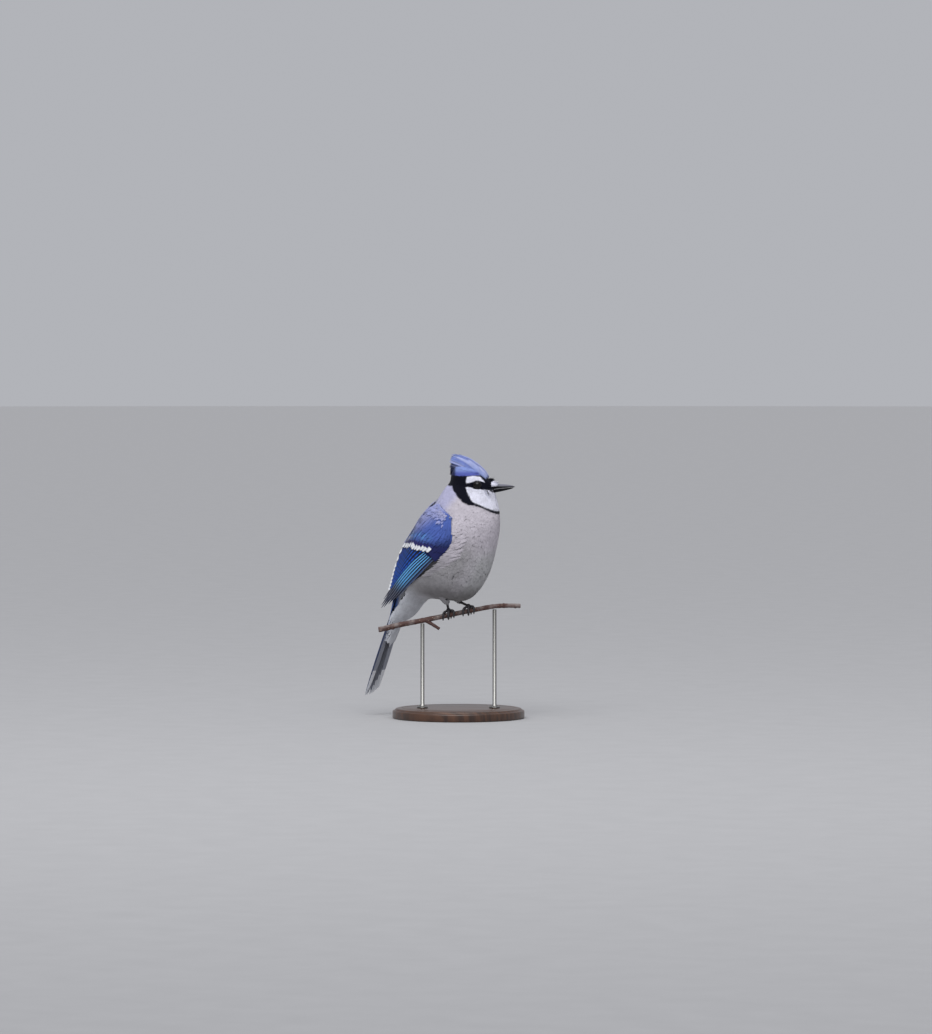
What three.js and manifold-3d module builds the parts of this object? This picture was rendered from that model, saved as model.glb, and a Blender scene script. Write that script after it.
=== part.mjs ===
// A life-size model of a blue jay on a cut twig, held up by a plain stand with two rods.
// Units are millimetres and +Z is up. The body faces +X, its left side is +Y, and the head is turned to its left.
import * as THREE from "three";
import { mergeVertices } from "three/addons/utils/BufferGeometryUtils.js";
import Module from "manifold-3d";

const wasm = await Module();
wasm.setup();

// Driving sizes
const GAP = 0.3; // between neighbouring pieces
const BASE_RADIUS = 66;
const BASE_THICKNESS = 10;
const TAIL_CLEARANCE = 8; // from the tail's tip down to the base's top
const TAIL_DROP = 87; // of the tail's tip below the twig
const PERCH_HEIGHT = BASE_THICKNESS + TAIL_CLEARANCE + TAIL_DROP; // of the twig above the floor
const TWIG_RADIUS = 2.4;
const TWIG_TURN = 30; // degrees from the body's heading to the twig's
const ROD_RADIUS = 2;
const ROD_PLACES = [-36, 36]; // along the twig, from the middle between the feet
const HEAD_TURN = 22; // degrees to the left
const NECK_AXIS_X = 16;
const EYE_RADIUS = 4.3;
const BILL_LENGTH = 26;
const TAIL_LENGTH = 128;
const VANE_THICKNESS = 0.55;
const VANE_STEP = 0.9; // from one overlapping vane to the next, across their faces
const ROUND_FROM = 0.72; // of a feather's length, where its tip starts to round off
const ROOT_BREADTH = 0.5; // of the widest breadth
const TIP_BREADTH = 0.3;

// The outer form in sections, from the tail's coverts to the crown: the middle, half the depth from back to front,
// half the width, the slope of the line from back to front, and how much the front is narrower than the back.
const SECTIONS = [
  { at: "tail coverts", x: -72.5, z: -10, depth: 5.5, width: 11, slope: -21, narrow: 0 },
  { at: "vent", x: -63.7, z: 2, depth: 12, width: 15, slope: -31, narrow: 0 },
  { at: "rump", x: -50.7, z: 25.5, depth: 19, width: 24, slope: -43, narrow: 0 },
  { at: "lower belly", x: -31, z: 38.5, depth: 34, width: 31, slope: -50, narrow: 0 },
  { at: "belly", x: -17.3, z: 49.5, depth: 45, width: 36, slope: -52, narrow: 0 },
  { at: "wings", x: -5.7, z: 65, depth: 46, width: 38, slope: -42, narrow: 0.04 },
  { at: "breast", x: 4.3, z: 85.5, depth: 40, width: 36, slope: -28, narrow: 0.06 },
  { at: "shoulders", x: 11.5, z: 100, depth: 35, width: 29, slope: -21, narrow: 0.06 },
  { at: "neck", x: 15.6, z: 113, depth: 30, width: 22, slope: -22, narrow: 0.1 },
  { at: "cheeks", x: 16.6, z: 124, depth: 24.3, width: 16.5, slope: -17, narrow: 0.15 },
  { at: "eyes", x: 16.1, z: 134.5, depth: 21.5, width: 14, slope: -12, narrow: 0.25 },
  { at: "crown", x: 13, z: 141.5, depth: 15.5, width: 10, slope: -14, narrow: 0.2 },
];
const TOP = SECTIONS.length - 1;
const TWIST_FROM = 6.5; // the section where the neck starts to turn, and the one where the head's turn is whole
const TWIST_TO = 8.8;

const rad = THREE.MathUtils.degToRad;
const vec = (x, y, z) => new THREE.Vector3(x, y, z);
const lerp = THREE.MathUtils.lerp;
const smooth = (x, from, to) => THREE.MathUtils.smoothstep(x, from, to);

// The value of a row of numbers at a fractional place, on a smooth curve through them.
function smoothAt(values, place) {
  const last = values.length - 1;
  const i = Math.min(Math.max(Math.floor(place), 0), last - 1);
  const f = place - i;
  const [a, b, c, d] = [i - 1, i, i + 1, i + 2].map((k) => values[Math.min(Math.max(k, 0), last)]);
  return b + 0.5 * f * (c - a + f * (2 * a - 5 * b + 4 * c - d + f * (3 * (b - c) + d - a)));
}

const sectionAt = (key, u) => smoothAt(SECTIONS.map((s) => s[key]), u);

// Turns a point of the head or neck about the upright line through the neck.
function turned(point, degrees) {
  const c = Math.cos(rad(degrees));
  const s = Math.sin(rad(degrees));
  const x = point.x - NECK_AXIS_X;
  return vec(NECK_AXIS_X + x * c - point.y * s, x * s + point.y * c, point.z);
}

// A point of the outer form: u counts sections from the tail, angle is 0 at the front and positive to the left,
// and size scales the section about its middle.
function formPoint(u, angle, size = 1, rise = 0) {
  const slope = rad(sectionAt("slope", u));
  const forward = sectionAt("depth", u) * Math.cos(angle) * size;
  const across = sectionAt("width", u) * Math.sin(angle) * size * (1 - sectionAt("narrow", u) * Math.cos(angle));
  const point = vec(
    sectionAt("x", u) + forward * Math.cos(slope) - rise * Math.sin(slope),
    across,
    PERCH_HEIGHT + sectionAt("z", u) + forward * Math.sin(slope) + rise * Math.cos(slope),
  );
  return turned(point, HEAD_TURN * smooth(u, TWIST_FROM, TWIST_TO));
}

// A point placed from the head's middle at the neck line: forward, to its left, and up from the twig.
function headPoint(forward, left, up) {
  return turned(vec(NECK_AXIS_X + forward, left, PERCH_HEIGHT + up), HEAD_TURN);
}

// Solids from rings of points

// A closed mesh through rings of equal count, with a point or a flat face at each end.
function skinned(rings, startPoint, endPoint) {
  const n = rings[0].length;
  const points = [...rings.flat(), startPoint, endPoint];
  const start = points.length - 2;
  const end = points.length - 1;
  const index = [];
  for (let k = 0; k < rings.length - 1; k++) {
    for (let i = 0; i < n; i++) {
      const a = k * n + i;
      const b = k * n + ((i + 1) % n);
      index.push(a, b, b + n, a, b + n, a + n);
    }
  }
  for (let i = 0; i < n; i++) {
    const j = (i + 1) % n;
    index.push(start, j, i);
    index.push(end, (rings.length - 1) * n + i, (rings.length - 1) * n + j);
  }
  return new THREE.BufferGeometry().setFromPoints(points).setIndex(index);
}

// A manifold solid from a closed geometry, whichever way its faces point.
function solidFrom(geometry) {
  const plain = new THREE.BufferGeometry().setAttribute("position", geometry.getAttribute("position"));
  plain.setIndex(geometry.index);
  const merged = mergeVertices(plain, 1e-4);
  const build = (triVerts) =>
    new wasm.Manifold(new wasm.Mesh({ numProp: 3, vertProperties: merged.attributes.position.array, triVerts }));
  const kept = [];
  const raw = merged.index.array;
  for (let i = 0; i < raw.length; i += 3) {
    const [a, b, c] = [raw[i], raw[i + 1], raw[i + 2]];
    if (a !== b && b !== c && a !== c) kept.push(a, b, c);
  }
  const made = build(new Uint32Array(kept));
  if (made.volume() > 0) return made;
  for (let i = 0; i < kept.length; i += 3) [kept[i + 1], kept[i + 2]] = [kept[i + 2], kept[i + 1]];
  return build(new Uint32Array(kept));
}

// The geometry of the largest closed surface of a solid.
function geometryFrom(solid) {
  const pieces = solid.decompose().sort((a, b) => b.volume() - a.volume());
  const mesh = pieces[0].getMesh();
  const positions = new Float32Array(mesh.numVert * 3);
  for (let i = 0; i < mesh.numVert; i++) {
    positions.set(mesh.vertProperties.subarray(i * mesh.numProp, i * mesh.numProp + 3), i * 3);
  }
  return new THREE.BufferGeometry()
    .setAttribute("position", new THREE.BufferAttribute(positions, 3))
    .setIndex(new THREE.BufferAttribute(new Uint32Array(mesh.triVerts), 1));
}

const union = (solids) => wasm.Manifold.union(solids);

// A round body along a line of { at, radius, wide } stations, its sections square to the line.
function tube(stations, sides, flat = vec(0, 0, 1)) {
  const rings = stations.map((station, k) => {
    const before = stations[Math.max(k - 1, 0)].at;
    const after = stations[Math.min(k + 1, stations.length - 1)].at;
    const along = after.clone().sub(before).normalize();
    const across = along.clone().cross(flat).normalize();
    const up = across.clone().cross(along);
    return Array.from({ length: sides }, (_, i) => {
      const a = (2 * Math.PI * i) / sides;
      return station.at
        .clone()
        .addScaledVector(across, station.radius * (station.wide ?? 1) * Math.cos(a))
        .addScaledVector(up, station.radius * Math.sin(a));
    });
  });
  return solidFrom(skinned(rings, stations[0].at, stations[stations.length - 1].at));
}

// A thin plate from a function of length (0 to 1) and breadth (-1 to 1) that gives { at, normal, thickness }.
function vane(surface, rows, columns = 2) {
  const top = [];
  const bottom = [];
  for (let k = 0; k <= rows; k++) {
    for (let j = 0; j <= columns; j++) {
      const { at, normal, thickness } = surface(k / rows, (2 * j) / columns - 1);
      top.push(at.clone().addScaledVector(normal, thickness / 2));
      bottom.push(at.clone().addScaledVector(normal, -thickness / 2));
    }
  }
  const n = columns + 1;
  const under = top.length;
  const index = [];
  const quad = (a, b, c, d) => index.push(a, b, c, a, c, d);
  for (let k = 0; k < rows; k++) {
    for (let j = 0; j < columns; j++) {
      const a = k * n + j;
      index.push(a, a + 1, a + n, a + 1, a + n + 1, a + n);
      index.push(under + a, under + a + n, under + a + 1, under + a + 1, under + a + n, under + a + n + 1);
    }
    quad(k * n, (k + 1) * n, under + (k + 1) * n, under + k * n);
    quad(k * n + columns, under + k * n + columns, under + (k + 1) * n + columns, (k + 1) * n + columns);
  }
  for (let j = 0; j < columns; j++) {
    quad(j, under + j, under + j + 1, j + 1);
    quad(rows * n + j, rows * n + j + 1, under + rows * n + j + 1, under + rows * n + j);
  }
  return solidFrom(new THREE.BufferGeometry().setFromPoints([...top, ...bottom]).setIndex(index));
}

// The breadth of a feather along its length as a share of its widest: a narrow root and a rounded tip.
function featherShape(v) {
  const rounded = v < ROUND_FROM ? 1 : Math.sqrt(Math.max(0, 1 - ((v - ROUND_FROM) / (1 - ROUND_FROM)) ** 2));
  return lerp(ROOT_BREADTH, 1, smooth(v, 0, 0.3)) * lerp(TIP_BREADTH, 1, rounded);
}

// Places the rows of a feather closer together towards its tip.
const rowPlace = (f) => 1 - (1 - f) ** 1.6;

const vaneThickness = (v) => VANE_THICKNESS * lerp(1.15, 0.7, v);

// Body, neck and head

const FORM_SIDES = 28;
const FORM_STEP = 0.46; // sections between rings
const DOME_RINGS = 3;
const CROWN_DOME = 4.5; // height of the skull's top above the last section

function bodySolid() {
  const rings = [];
  const ring = (u, size, rise) =>
    Array.from({ length: FORM_SIDES }, (_, i) => formPoint(u, (2 * Math.PI * i) / FORM_SIDES, size, rise));
  const count = Math.round(TOP / FORM_STEP);
  for (let k = 0; k <= count; k++) rings.push(ring((k * TOP) / count, 1, 0));
  for (let k = 1; k < DOME_RINGS; k++) {
    const a = (k * Math.PI) / 2 / DOME_RINGS;
    rings.push(ring(TOP, Math.cos(a), CROWN_DOME * Math.sin(a)));
  }
  return solidFrom(skinned(rings, formPoint(0, 0, 0), formPoint(TOP, 0, 0, CROWN_DOME)));
}

// Cuts between crest, head, neck and torso, as planes through two points of the back and front.
const CUTS = {
  crown: { back: [-26, 139], front: [24, 135.5], turn: HEAD_TURN },
  collar: { back: [-26, 126], front: [26, 103], turn: HEAD_TURN },
  shoulders: { back: [-38, 113], front: [30, 86], turn: 0 },
};

// The part of a solid above (side 1) or below (side -1) a cut, half a gap clear of it.
function parted(solid, cut, side) {
  const [back, front] = [cut.back, cut.front].map(([x, z]) =>
    turned(vec(NECK_AXIS_X + x, 0, PERCH_HEIGHT + z), cut.turn),
  );
  const left = turned(vec(NECK_AXIS_X, 1, 0), cut.turn).sub(vec(NECK_AXIS_X, 0, 0));
  const normal = front.clone().sub(back).cross(left).normalize().multiplyScalar(side);
  return solid.trimByPlane(normal.toArray(), normal.dot(back) + GAP / 2);
}

// Bill

const BILL = { base: 16.5, up: 123.5, pitch: 7, halfWidth: 4.2, upper: 4.9, lower: 3.5, sunk: 6, hook: 0.6 };

// One mandible: its outer line falls to the tip, its inner face is level at the mouth line.
function mandible(direction, grow) {
  const rings = [];
  const steps = 8;
  const sides = 9;
  const depth = direction > 0 ? BILL.upper : BILL.lower;
  const length = (direction > 0 ? 1 : 0.95) * BILL_LENGTH;
  for (let k = 0; k <= steps; k++) {
    const f = k / steps;
    const along = BILL.base - BILL.sunk - grow + f * (length + BILL.sunk + 2 * grow);
    const shrink = (1 - f ** 2.2) ** 0.75;
    const height = depth * lerp(0.12, 1, shrink) + 2 * grow;
    const width = BILL.halfWidth * lerp(0.1, 1, (1 - f) ** 0.75) + grow;
    const drop = BILL.hook * Math.max(0, (along - BILL.base) / BILL_LENGTH) ** 4;
    const ring = [];
    for (let i = 0; i < sides; i++) {
      const a = (Math.PI * i) / (sides - 1);
      const mouth = direction * (GAP / 2 - grow) - drop;
      const up = mouth + direction * Math.sin(a) * height;
      const pitched = vec(along, Math.cos(a) * width, up + (along - BILL.base) * Math.tan(rad(BILL.pitch)));
      ring.push(headPoint(pitched.x, pitched.y, BILL.up + pitched.z));
    }
    rings.push(ring);
  }
  const middle = (ring) => ring.reduce((sum, p) => sum.add(p), vec(0, 0, 0)).divideScalar(ring.length);
  return solidFrom(skinned(rings, middle(rings[0]), middle(rings[steps])));
}

// Oval nostrils, one on each side of the upper mandible near its base.
const NOSTRIL = { along: 4, side: 3.5, up: 2.9, radius: 0.9 };

function nostrils() {
  const hole = (side) =>
    ball(headPoint(BILL.base + NOSTRIL.along, side * NOSTRIL.side, BILL.up + NOSTRIL.up), NOSTRIL.radius, 8, 6);
  return union([hole(1), hole(-1)]);
}

// Eyes, with a lid ring that is part of the head

const EYE = { forward: 6.5, side: 11.2, up: 128.6 };
const LIDS = { thickness: 0.75, long: 3.7, high: 3.1, from: 2.2 }; // the opening's half sizes, and where it starts

const eyeCentre = (side) => headPoint(EYE.forward, side * EYE.side, EYE.up);

function ball(centre, radius, across, rings) {
  return solidFrom(new THREE.SphereGeometry(radius, across, rings)).translate(centre.toArray());
}

// Both lids as one thin shell round the eyeball, raised a little from the face.
const lidShell = (side) => ball(eyeCentre(side), EYE_RADIUS + GAP + LIDS.thickness, 14, 8);

// The almond opening between the lids, with the eyeball's own room behind it.
function eyeRoom(side) {
  const facing = headPoint(0.16, side, 0.06).sub(headPoint(0, 0, 0)).normalize();
  const along = headPoint(1, 0, 0).sub(headPoint(0, 0, 0));
  const upright = facing.clone().cross(along).normalize();
  const basis = new THREE.Matrix4().makeBasis(upright.clone().cross(facing), upright, facing);
  const depth = 6;
  const opening = new THREE.CylinderGeometry(1, 1, depth, 14).rotateX(Math.PI / 2);
  opening.scale(LIDS.long, LIDS.high, 1).translate(0, 0, LIDS.from + depth / 2).applyMatrix4(basis);
  const hole = solidFrom(opening).translate(eyeCentre(side).toArray());
  return hole.add(ball(eyeCentre(side), EYE_RADIUS + GAP, 14, 8));
}

// Wings: a shell between a lower and an upper edge line, bulging outwards between them

const WING_LOWER = [[20, -31, 88], [5, -37, 63], [-18, -35.5, 42], [-39, -28, 27], [-59, -19, 11], [-79, -11, -3]];
const WING_UPPER = [[-14, -17, 113], [-34, -17, 92], [-51, -15, 66], [-66, -12, 42], [-77, -10, 22], [-87, -8, 5]];
const WING_BULGE = [8, 11, 9.5, 6, 3, 1];
const WING_DEPTH = [5, 5, 4.8, 4.6, 4.2, 3.8]; // from the shell down to the wing's inner face, along the wing

const railPoint = (rail, s) => {
  const place = s * (rail.length - 1);
  const [x, y, z] = [0, 1, 2].map((k) => smoothAt(rail.map((p) => p[k]), place));
  return vec(x, y, z + PERCH_HEIGHT);
};

const chordAt = (s) => railPoint(WING_LOWER, s).distanceTo(railPoint(WING_UPPER, s));

// A point of the right wing's shell at s along it and t up across it, with the outward normal.
function wingPoint(s, t) {
  const low = railPoint(WING_LOWER, s);
  const high = railPoint(WING_UPPER, s);
  const along = railPoint(WING_LOWER, s + 0.02)
    .add(railPoint(WING_UPPER, s + 0.02))
    .sub(railPoint(WING_LOWER, s - 0.02))
    .sub(railPoint(WING_UPPER, s - 0.02));
  const across = high.clone().sub(low);
  const out = along.cross(across).normalize();
  if (out.y > 0) out.negate();
  const bulge = smoothAt(WING_BULGE, s * (WING_BULGE.length - 1));
  const at = low.lerp(high, t).addScaledVector(out, bulge * 4 * t * (1 - t));
  const leaning = (bulge * 4 * (1 - 2 * t)) / across.length();
  const normal = out.clone().addScaledVector(across.normalize(), -leaning).normalize();
  return { at, normal };
}

const wingDepth = (s) => smoothAt(WING_DEPTH, s * (WING_DEPTH.length - 1));

// A closed slab over the shell: its ends, its edges across the shell and its two heights over it.
function wingSlab(ends, edges, heights, rows, columns) {
  const surface = (v, b) => {
    const s = lerp(ends[0], ends[1], v);
    const [low, high] = edges(s);
    const [inner, outer] = heights(s, b);
    const { at, normal } = wingPoint(s, lerp(low, high, (b + 1) / 2));
    return { at: at.addScaledVector(normal, (inner + outer) / 2), normal, thickness: outer - inner };
  };
  return vane(surface, rows, columns);
}

// The space that a wing takes up, which its neighbours are cut back from.
function wingRoom() {
  const edges = (s) => [wingT(s, -0.04) - 0.09 * smooth(s, 0.5, 0.95), wingT(s, 1.04)];
  return wingSlab([-0.02, 1.02], edges, (s) => [-wingDepth(s) - GAP, 26], 10, 5);
}

// Where a line at a share of the wing's breadth crosses it, with the wing rounded off towards the wrist.
function wingT(s, share) {
  const round = (1 - smooth(s, 0, 0.18)) ** 1.5;
  return lerp(0.26 * round, 1 - 0.24 * round, share);
}

// The fleshy arm with its smallest feathers, which the vanes are rooted in.
const ARM_END = 0.5;
const ARM_TOP = 1;
const ARM_LOW = -3.6;
const ARM_CLEAR = 0.45; // of the arm's inner face above the wing's, which its neighbours are cut back from

function wingArm() {
  const edges = (s) => [wingT(s, 0.02), wingT(s, 1) - 0.35 * smooth(s, 0.3, ARM_END)];
  const heights = (s, b) => {
    const rounding = 2.2 * b ** 6 * (1 - smooth(s, 0.2, 0.4)) + 3 * (1 - smooth(s, 0, 0.08));
    return [ARM_CLEAR - wingDepth(s), lerp(ARM_TOP, ARM_LOW, smooth(s, 0.12, ARM_END)) - rounding];
  };
  return wingSlab([0, ARM_END], edges, heights, 8, 5);
}

// Flight feathers, from the outermost primary at the wing's lower edge to the innermost tertial at its upper edge:
// where each crosses the wing at its root and would at the wing's end, and where its own tip is.
const FLIGHT_ROOT = 0.25;
const PRIMARIES = Array.from({ length: 7 }, (_, i) => ({
  rootT: 0.09 + 0.052 * i,
  endT: 0.12 + 0.115 * i,
  tip: 1 - 0.16 * (1 - i / 4) ** 2,
}));
const SECONDARIES = Array.from({ length: 5 }, (_, i) => ({
  rootT: 0.46 + 0.06 * i,
  endT: 1 + 0.07 * i,
  tip: 0.8 - 0.03 * i,
}));
const TERTIALS = Array.from({ length: 3 }, (_, i) => ({
  rootT: 0.76 + 0.07 * i,
  endT: 1.26 + 0.07 * i,
  tip: 0.6 - 0.095 * i,
}));
const FLIGHT = [...PRIMARIES, ...SECONDARIES, ...TERTIALS];
const FLIGHT_HALF = 2.9; // half the breadth of a flight feather
const FLIGHT_SLOPE = 0.3; // how steeply each leans to pass under the next
const FLIGHT_SINK = 2.2; // of the root into the arm

function flightT(feather, s) {
  const gone = Math.max(0, (s - FLIGHT_ROOT) / (1 - FLIGHT_ROOT));
  return lerp(feather.rootT, feather.endT, gone ** 3);
}

// How far a flight feather lies below the topmost one, so that all that lie over it clear it.
function flightDrop(number, s) {
  let drop = 0;
  for (let k = number; k < FLIGHT.length - 1; k++) {
    const apart = (flightT(FLIGHT[k + 1], s) - flightT(FLIGHT[k], s)) * chordAt(s);
    const there = 1 - smooth(s, FLIGHT[k + 1].tip, FLIGHT[k + 1].tip + 0.2);
    drop += there * Math.max(0, VANE_STEP - FLIGHT_SLOPE * apart);
  }
  return drop;
}

function flightVane(feather, number) {
  const surface = (f, b) => {
    const v = rowPlace(f);
    const s = lerp(FLIGHT_ROOT, feather.tip, v);
    const half = FLIGHT_HALF * featherShape(v);
    const { at, normal } = wingPoint(s, flightT(feather, s) + (b * half) / chordAt(s));
    const sunk = FLIGHT_SINK * (1 - smooth(v, 0, 0.2));
    const height = -flightDrop(number, s) - FLIGHT_SLOPE * b * half - sunk;
    at.addScaledVector(normal, Math.max(height, 0.5 - wingDepth(s)));
    return { at, normal, thickness: vaneThickness(v) };
  };
  return vane(surface, 5);
}

// Rows of coverts, which lie over the roots of the flight feathers and of each other.
const COVERT_ROWS = [
  { count: 8, from: 0.08, to: 0.93, root: 0.1, tip: [0.23, 0.32], half: 4, level: 2.3, slope: 0.18 },
  { count: 6, from: 0.14, to: 0.86, root: 0.02, tip: [0.15, 0.2], half: 5, level: 3.1, slope: 0.15 },
];
const COVERT_FALL = 2.3; // of the lower edge of a row below its upper edge

function covertVane(row, number) {
  const place = number / (row.count - 1);
  const t = lerp(row.from, row.to, place);
  const tip = lerp(row.tip[0], row.tip[1], Math.sin((Math.PI * Math.min(1, place * 1.6)) / 2));
  const surface = (f, b) => {
    const v = rowPlace(f);
    const s = lerp(row.root, tip, v);
    const half = row.half * featherShape(v);
    const { at, normal } = wingPoint(s, wingT(s, t) + (b * half) / chordAt(s));
    const sunk = row.level * (1 - smooth(v, 0, 0.4));
    const height = row.level - COVERT_FALL * (1 - t) - row.slope * b * half - sunk;
    return { at: at.addScaledVector(normal, height), normal, thickness: vaneThickness(v) };
  };
  return vane(surface, 4);
}

function rightWing() {
  const coverts = COVERT_ROWS.flatMap((row) => Array.from({ length: row.count }, (_, k) => covertVane(row, k)));
  return union([wingArm(), ...FLIGHT.map(flightVane), ...coverts]);
}

// Tail

const TAIL_TIP = vec(-103, 0, PERCH_HEIGHT - TAIL_DROP);
const TAIL_DOWN = vec(-45, 0, -120).normalize();
const TAIL_ROOT = TAIL_TIP.clone().addScaledVector(TAIL_DOWN, -TAIL_LENGTH);
const TAIL_BACK = vec(TAIL_DOWN.z, 0, -TAIL_DOWN.x); // square to the tail, on its upper side
const TAIL_PAIRS = 6;
const TAIL_HALF = 4.3; // half the breadth of a tail feather
const TAIL_SPREAD = { root: 0.5, tip: 1.45 }; // from one feather's middle to the next one's
const TAIL_FIRST = 2.2; // from the middle line to the middle of the first feather
const TAIL_SHORTER = 9; // the outermost feather than the middle ones
const TAIL_ARCH = 0.05; // how much the outer edges lie lower than the middle

// A point of the tail at a distance down it, out from its middle line and above its lowest layer.
function tailPoint(down, out, above) {
  return TAIL_ROOT.clone()
    .addScaledVector(TAIL_DOWN, down)
    .add(vec(0, out, 0))
    .addScaledVector(TAIL_BACK, above - TAIL_ARCH * Math.abs(out));
}

// A tail feather, pair 0 in the middle and on top; each later one lies further out and one layer lower.
function tailVane(pair, side) {
  const length = TAIL_LENGTH - TAIL_SHORTER * (pair / (TAIL_PAIRS - 1)) ** 1.5;
  const layer = (TAIL_PAIRS - 1 - pair + (pair === 0 && side > 0 ? 1 : 0)) * VANE_STEP;
  const surface = (f, b) => {
    const v = rowPlace(f);
    const middle = TAIL_FIRST + pair * lerp(TAIL_SPREAD.root, TAIL_SPREAD.tip, v);
    const half = TAIL_HALF * lerp(0.7, 1, v) * featherShape(v);
    const inner = pair === 0 ? middle - half : Math.max(GAP / 2 + 0.05, middle - half);
    const out = lerp(inner, middle + half, (1 + side * b) / 2);
    return { at: tailPoint(length * v, side * out, layer), normal: TAIL_BACK, thickness: vaneThickness(v) };
  };
  return vane(surface, 4);
}

// The stub of flesh inside the body that all tail feathers grow from.
const TAIL_STUB = { length: 9, half: 4.6, above: 4.9, below: -0.4 };

function tailStub() {
  const surface = (v, b) => {
    const half = TAIL_STUB.half * lerp(0.8, 1, v);
    const middle = (TAIL_STUB.above + TAIL_STUB.below) / 2;
    const thickness = TAIL_STUB.above - TAIL_STUB.below;
    return { at: tailPoint(lerp(-2, TAIL_STUB.length, v), b * half, middle), normal: TAIL_BACK, thickness };
  };
  return vane(surface, 2);
}

function tailSolid() {
  const vanes = [];
  for (let pair = 0; pair < TAIL_PAIRS; pair++) vanes.push(tailVane(pair, 1), tailVane(pair, -1));
  return union([tailStub(), ...vanes]);
}

// The room that the tail takes up in the body.
function tailRoom() {
  const above = TAIL_PAIRS * VANE_STEP;
  const surface = (v, b) => {
    const half = TAIL_FIRST + TAIL_HALF + TAIL_PAIRS * lerp(TAIL_SPREAD.root, TAIL_SPREAD.tip, v) + 2 * GAP;
    return { at: tailPoint(lerp(-3, 70, v), b * half, above / 2), normal: TAIL_BACK, thickness: above + 2.4 };
  };
  return vane(surface, 4);
}

// Twig, with bends, a cut side stub and cut ends

const TWIG_LINE = [
  [-80, -16.5], [-60, -12], [-38, -7.8], [-18, -3.8], [0, 0], [18, 3.6], [36, 6.8], [50, 7.4], [62, 7.2],
];
const TWIG_HEADING = vec(Math.cos(rad(TWIG_TURN)), Math.sin(rad(TWIG_TURN)), 0);
const TOES_FORWARD = vec(Math.sin(rad(TWIG_TURN)), -Math.cos(rad(TWIG_TURN)), 0);

// A point of the twig's middle line at a place along it.
function twigPoint(place) {
  const line = TWIG_LINE;
  let i = 0;
  while (i < line.length - 2 && line[i + 1][0] < place) i++;
  const f = (place - line[i][0]) / (line[i + 1][0] - line[i][0]);
  const up = smoothAt(line.map((p) => p[1]), i + f);
  return TWIG_HEADING.clone().multiplyScalar(place).setZ(PERCH_HEIGHT + up);
}

function twigSolid() {
  const ends = [TWIG_LINE[0][0], TWIG_LINE[TWIG_LINE.length - 1][0]];
  const count = 18;
  const stations = Array.from({ length: count + 1 }, (_, k) => {
    const place = lerp(ends[0], ends[1], k / count);
    const clear = Math.abs(place) < 20 ? 0 : 1; // even where the toes grip
    const radius = TWIG_RADIUS * (1 - 0.0016 * place) * (1 + clear * 0.05 * Math.sin(place * 1.7));
    return { at: twigPoint(place), radius };
  });
  const root = twigPoint(-34);
  const stub = [0, 0.35, 0.7, 1].map((f) => ({
    at: root.clone().addScaledVector(TWIG_HEADING, 15 * f).add(vec(0, 0, -7.5 * f - 1.5 * f * f)),
    radius: lerp(1.9, 1.5, f),
  }));
  return union([tube(stations, 9), tube(stub, 7)]);
}

// Legs

const FEET = {
  right: { place: -10, knee: [-8, -9, 10.5], hip: [-17, -16, 34] },
  left: { place: 10, knee: [-3, 7, 11], hip: [-13, 15, 34] },
};
const TOES = [
  { name: "1", shift: 2.6, from: 118, to: 212, claw: 262, radius: 1.25 },
  { name: "2", shift: 5.4, from: 105, to: -28, claw: -84, radius: 1.15 },
  { name: "3", shift: 0, from: 105, to: -52, claw: -108, radius: 1.3 },
  { name: "4", shift: -5.4, from: 105, to: -34, claw: -90, radius: 1.15 },
];
const BALL_ANGLE = 108;
const BALL_RADIUS = 2.3;
const SHANK_SUNK = 1.5; // into the thigh's feathers, before the thigh's room is cut from it

// A point round the twig at a place, an angle (0 towards the toes' front, 90 on top) and a distance
// from its middle.
function gripPoint(place, angle, distance) {
  return twigPoint(place)
    .addScaledVector(TOES_FORWARD, distance * Math.cos(rad(angle)))
    .add(vec(0, 0, distance * Math.sin(rad(angle))));
}

const toePlace = (foot, toe, f) => foot.place + toe.shift * smooth(f, -0.1, 0.55);

function toeSolid(foot, toe) {
  const steps = 7;
  const stations = Array.from({ length: steps + 1 }, (_, k) => {
    const f = k / steps;
    const pad = 1 + 0.09 * Math.cos(f * 6 * Math.PI);
    const radius = toe.radius * pad * lerp(1.1, 0.85, f) * (k === steps ? 0.8 : 1);
    const distance = TWIG_RADIUS * 1.03 + GAP + 1.15 * toe.radius + 0.5 * (1 - f) ** 2;
    return { at: gripPoint(toePlace(foot, toe, f), lerp(toe.from, toe.to, f), distance), radius };
  });
  return tube(stations, 6, TWIG_HEADING);
}

function clawSolid(foot, toe) {
  const steps = 5;
  const way = Math.sign(toe.claw - toe.to);
  const stations = Array.from({ length: steps + 1 }, (_, k) => {
    const f = k / steps;
    const distance = TWIG_RADIUS * 1.03 + GAP + 1.15 * toe.radius + 0.25 * Math.sin(Math.PI * f) + 0.1 * f;
    const angle = lerp(toe.to + way * 6.5, toe.claw, f);
    const radius = toe.radius * lerp(0.72, 0.12, f ** 0.9);
    return { at: gripPoint(foot.place + toe.shift, angle, distance), radius };
  });
  return tube(stations, 6, TWIG_HEADING);
}

const ballPoint = (foot) => gripPoint(foot.place, BALL_ANGLE, TWIG_RADIUS + GAP + BALL_RADIUS + 0.3);
const kneePoint = (foot) => vec(foot.knee[0], foot.knee[1], foot.knee[2] + PERCH_HEIGHT);
const hipPoint = (foot) => vec(foot.hip[0], foot.hip[1], foot.hip[2] + PERCH_HEIGHT);

function footSolid(foot) {
  return union([ball(ballPoint(foot), BALL_RADIUS, 12, 8), ...TOES.map((toe) => toeSolid(foot, toe))]);
}

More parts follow.
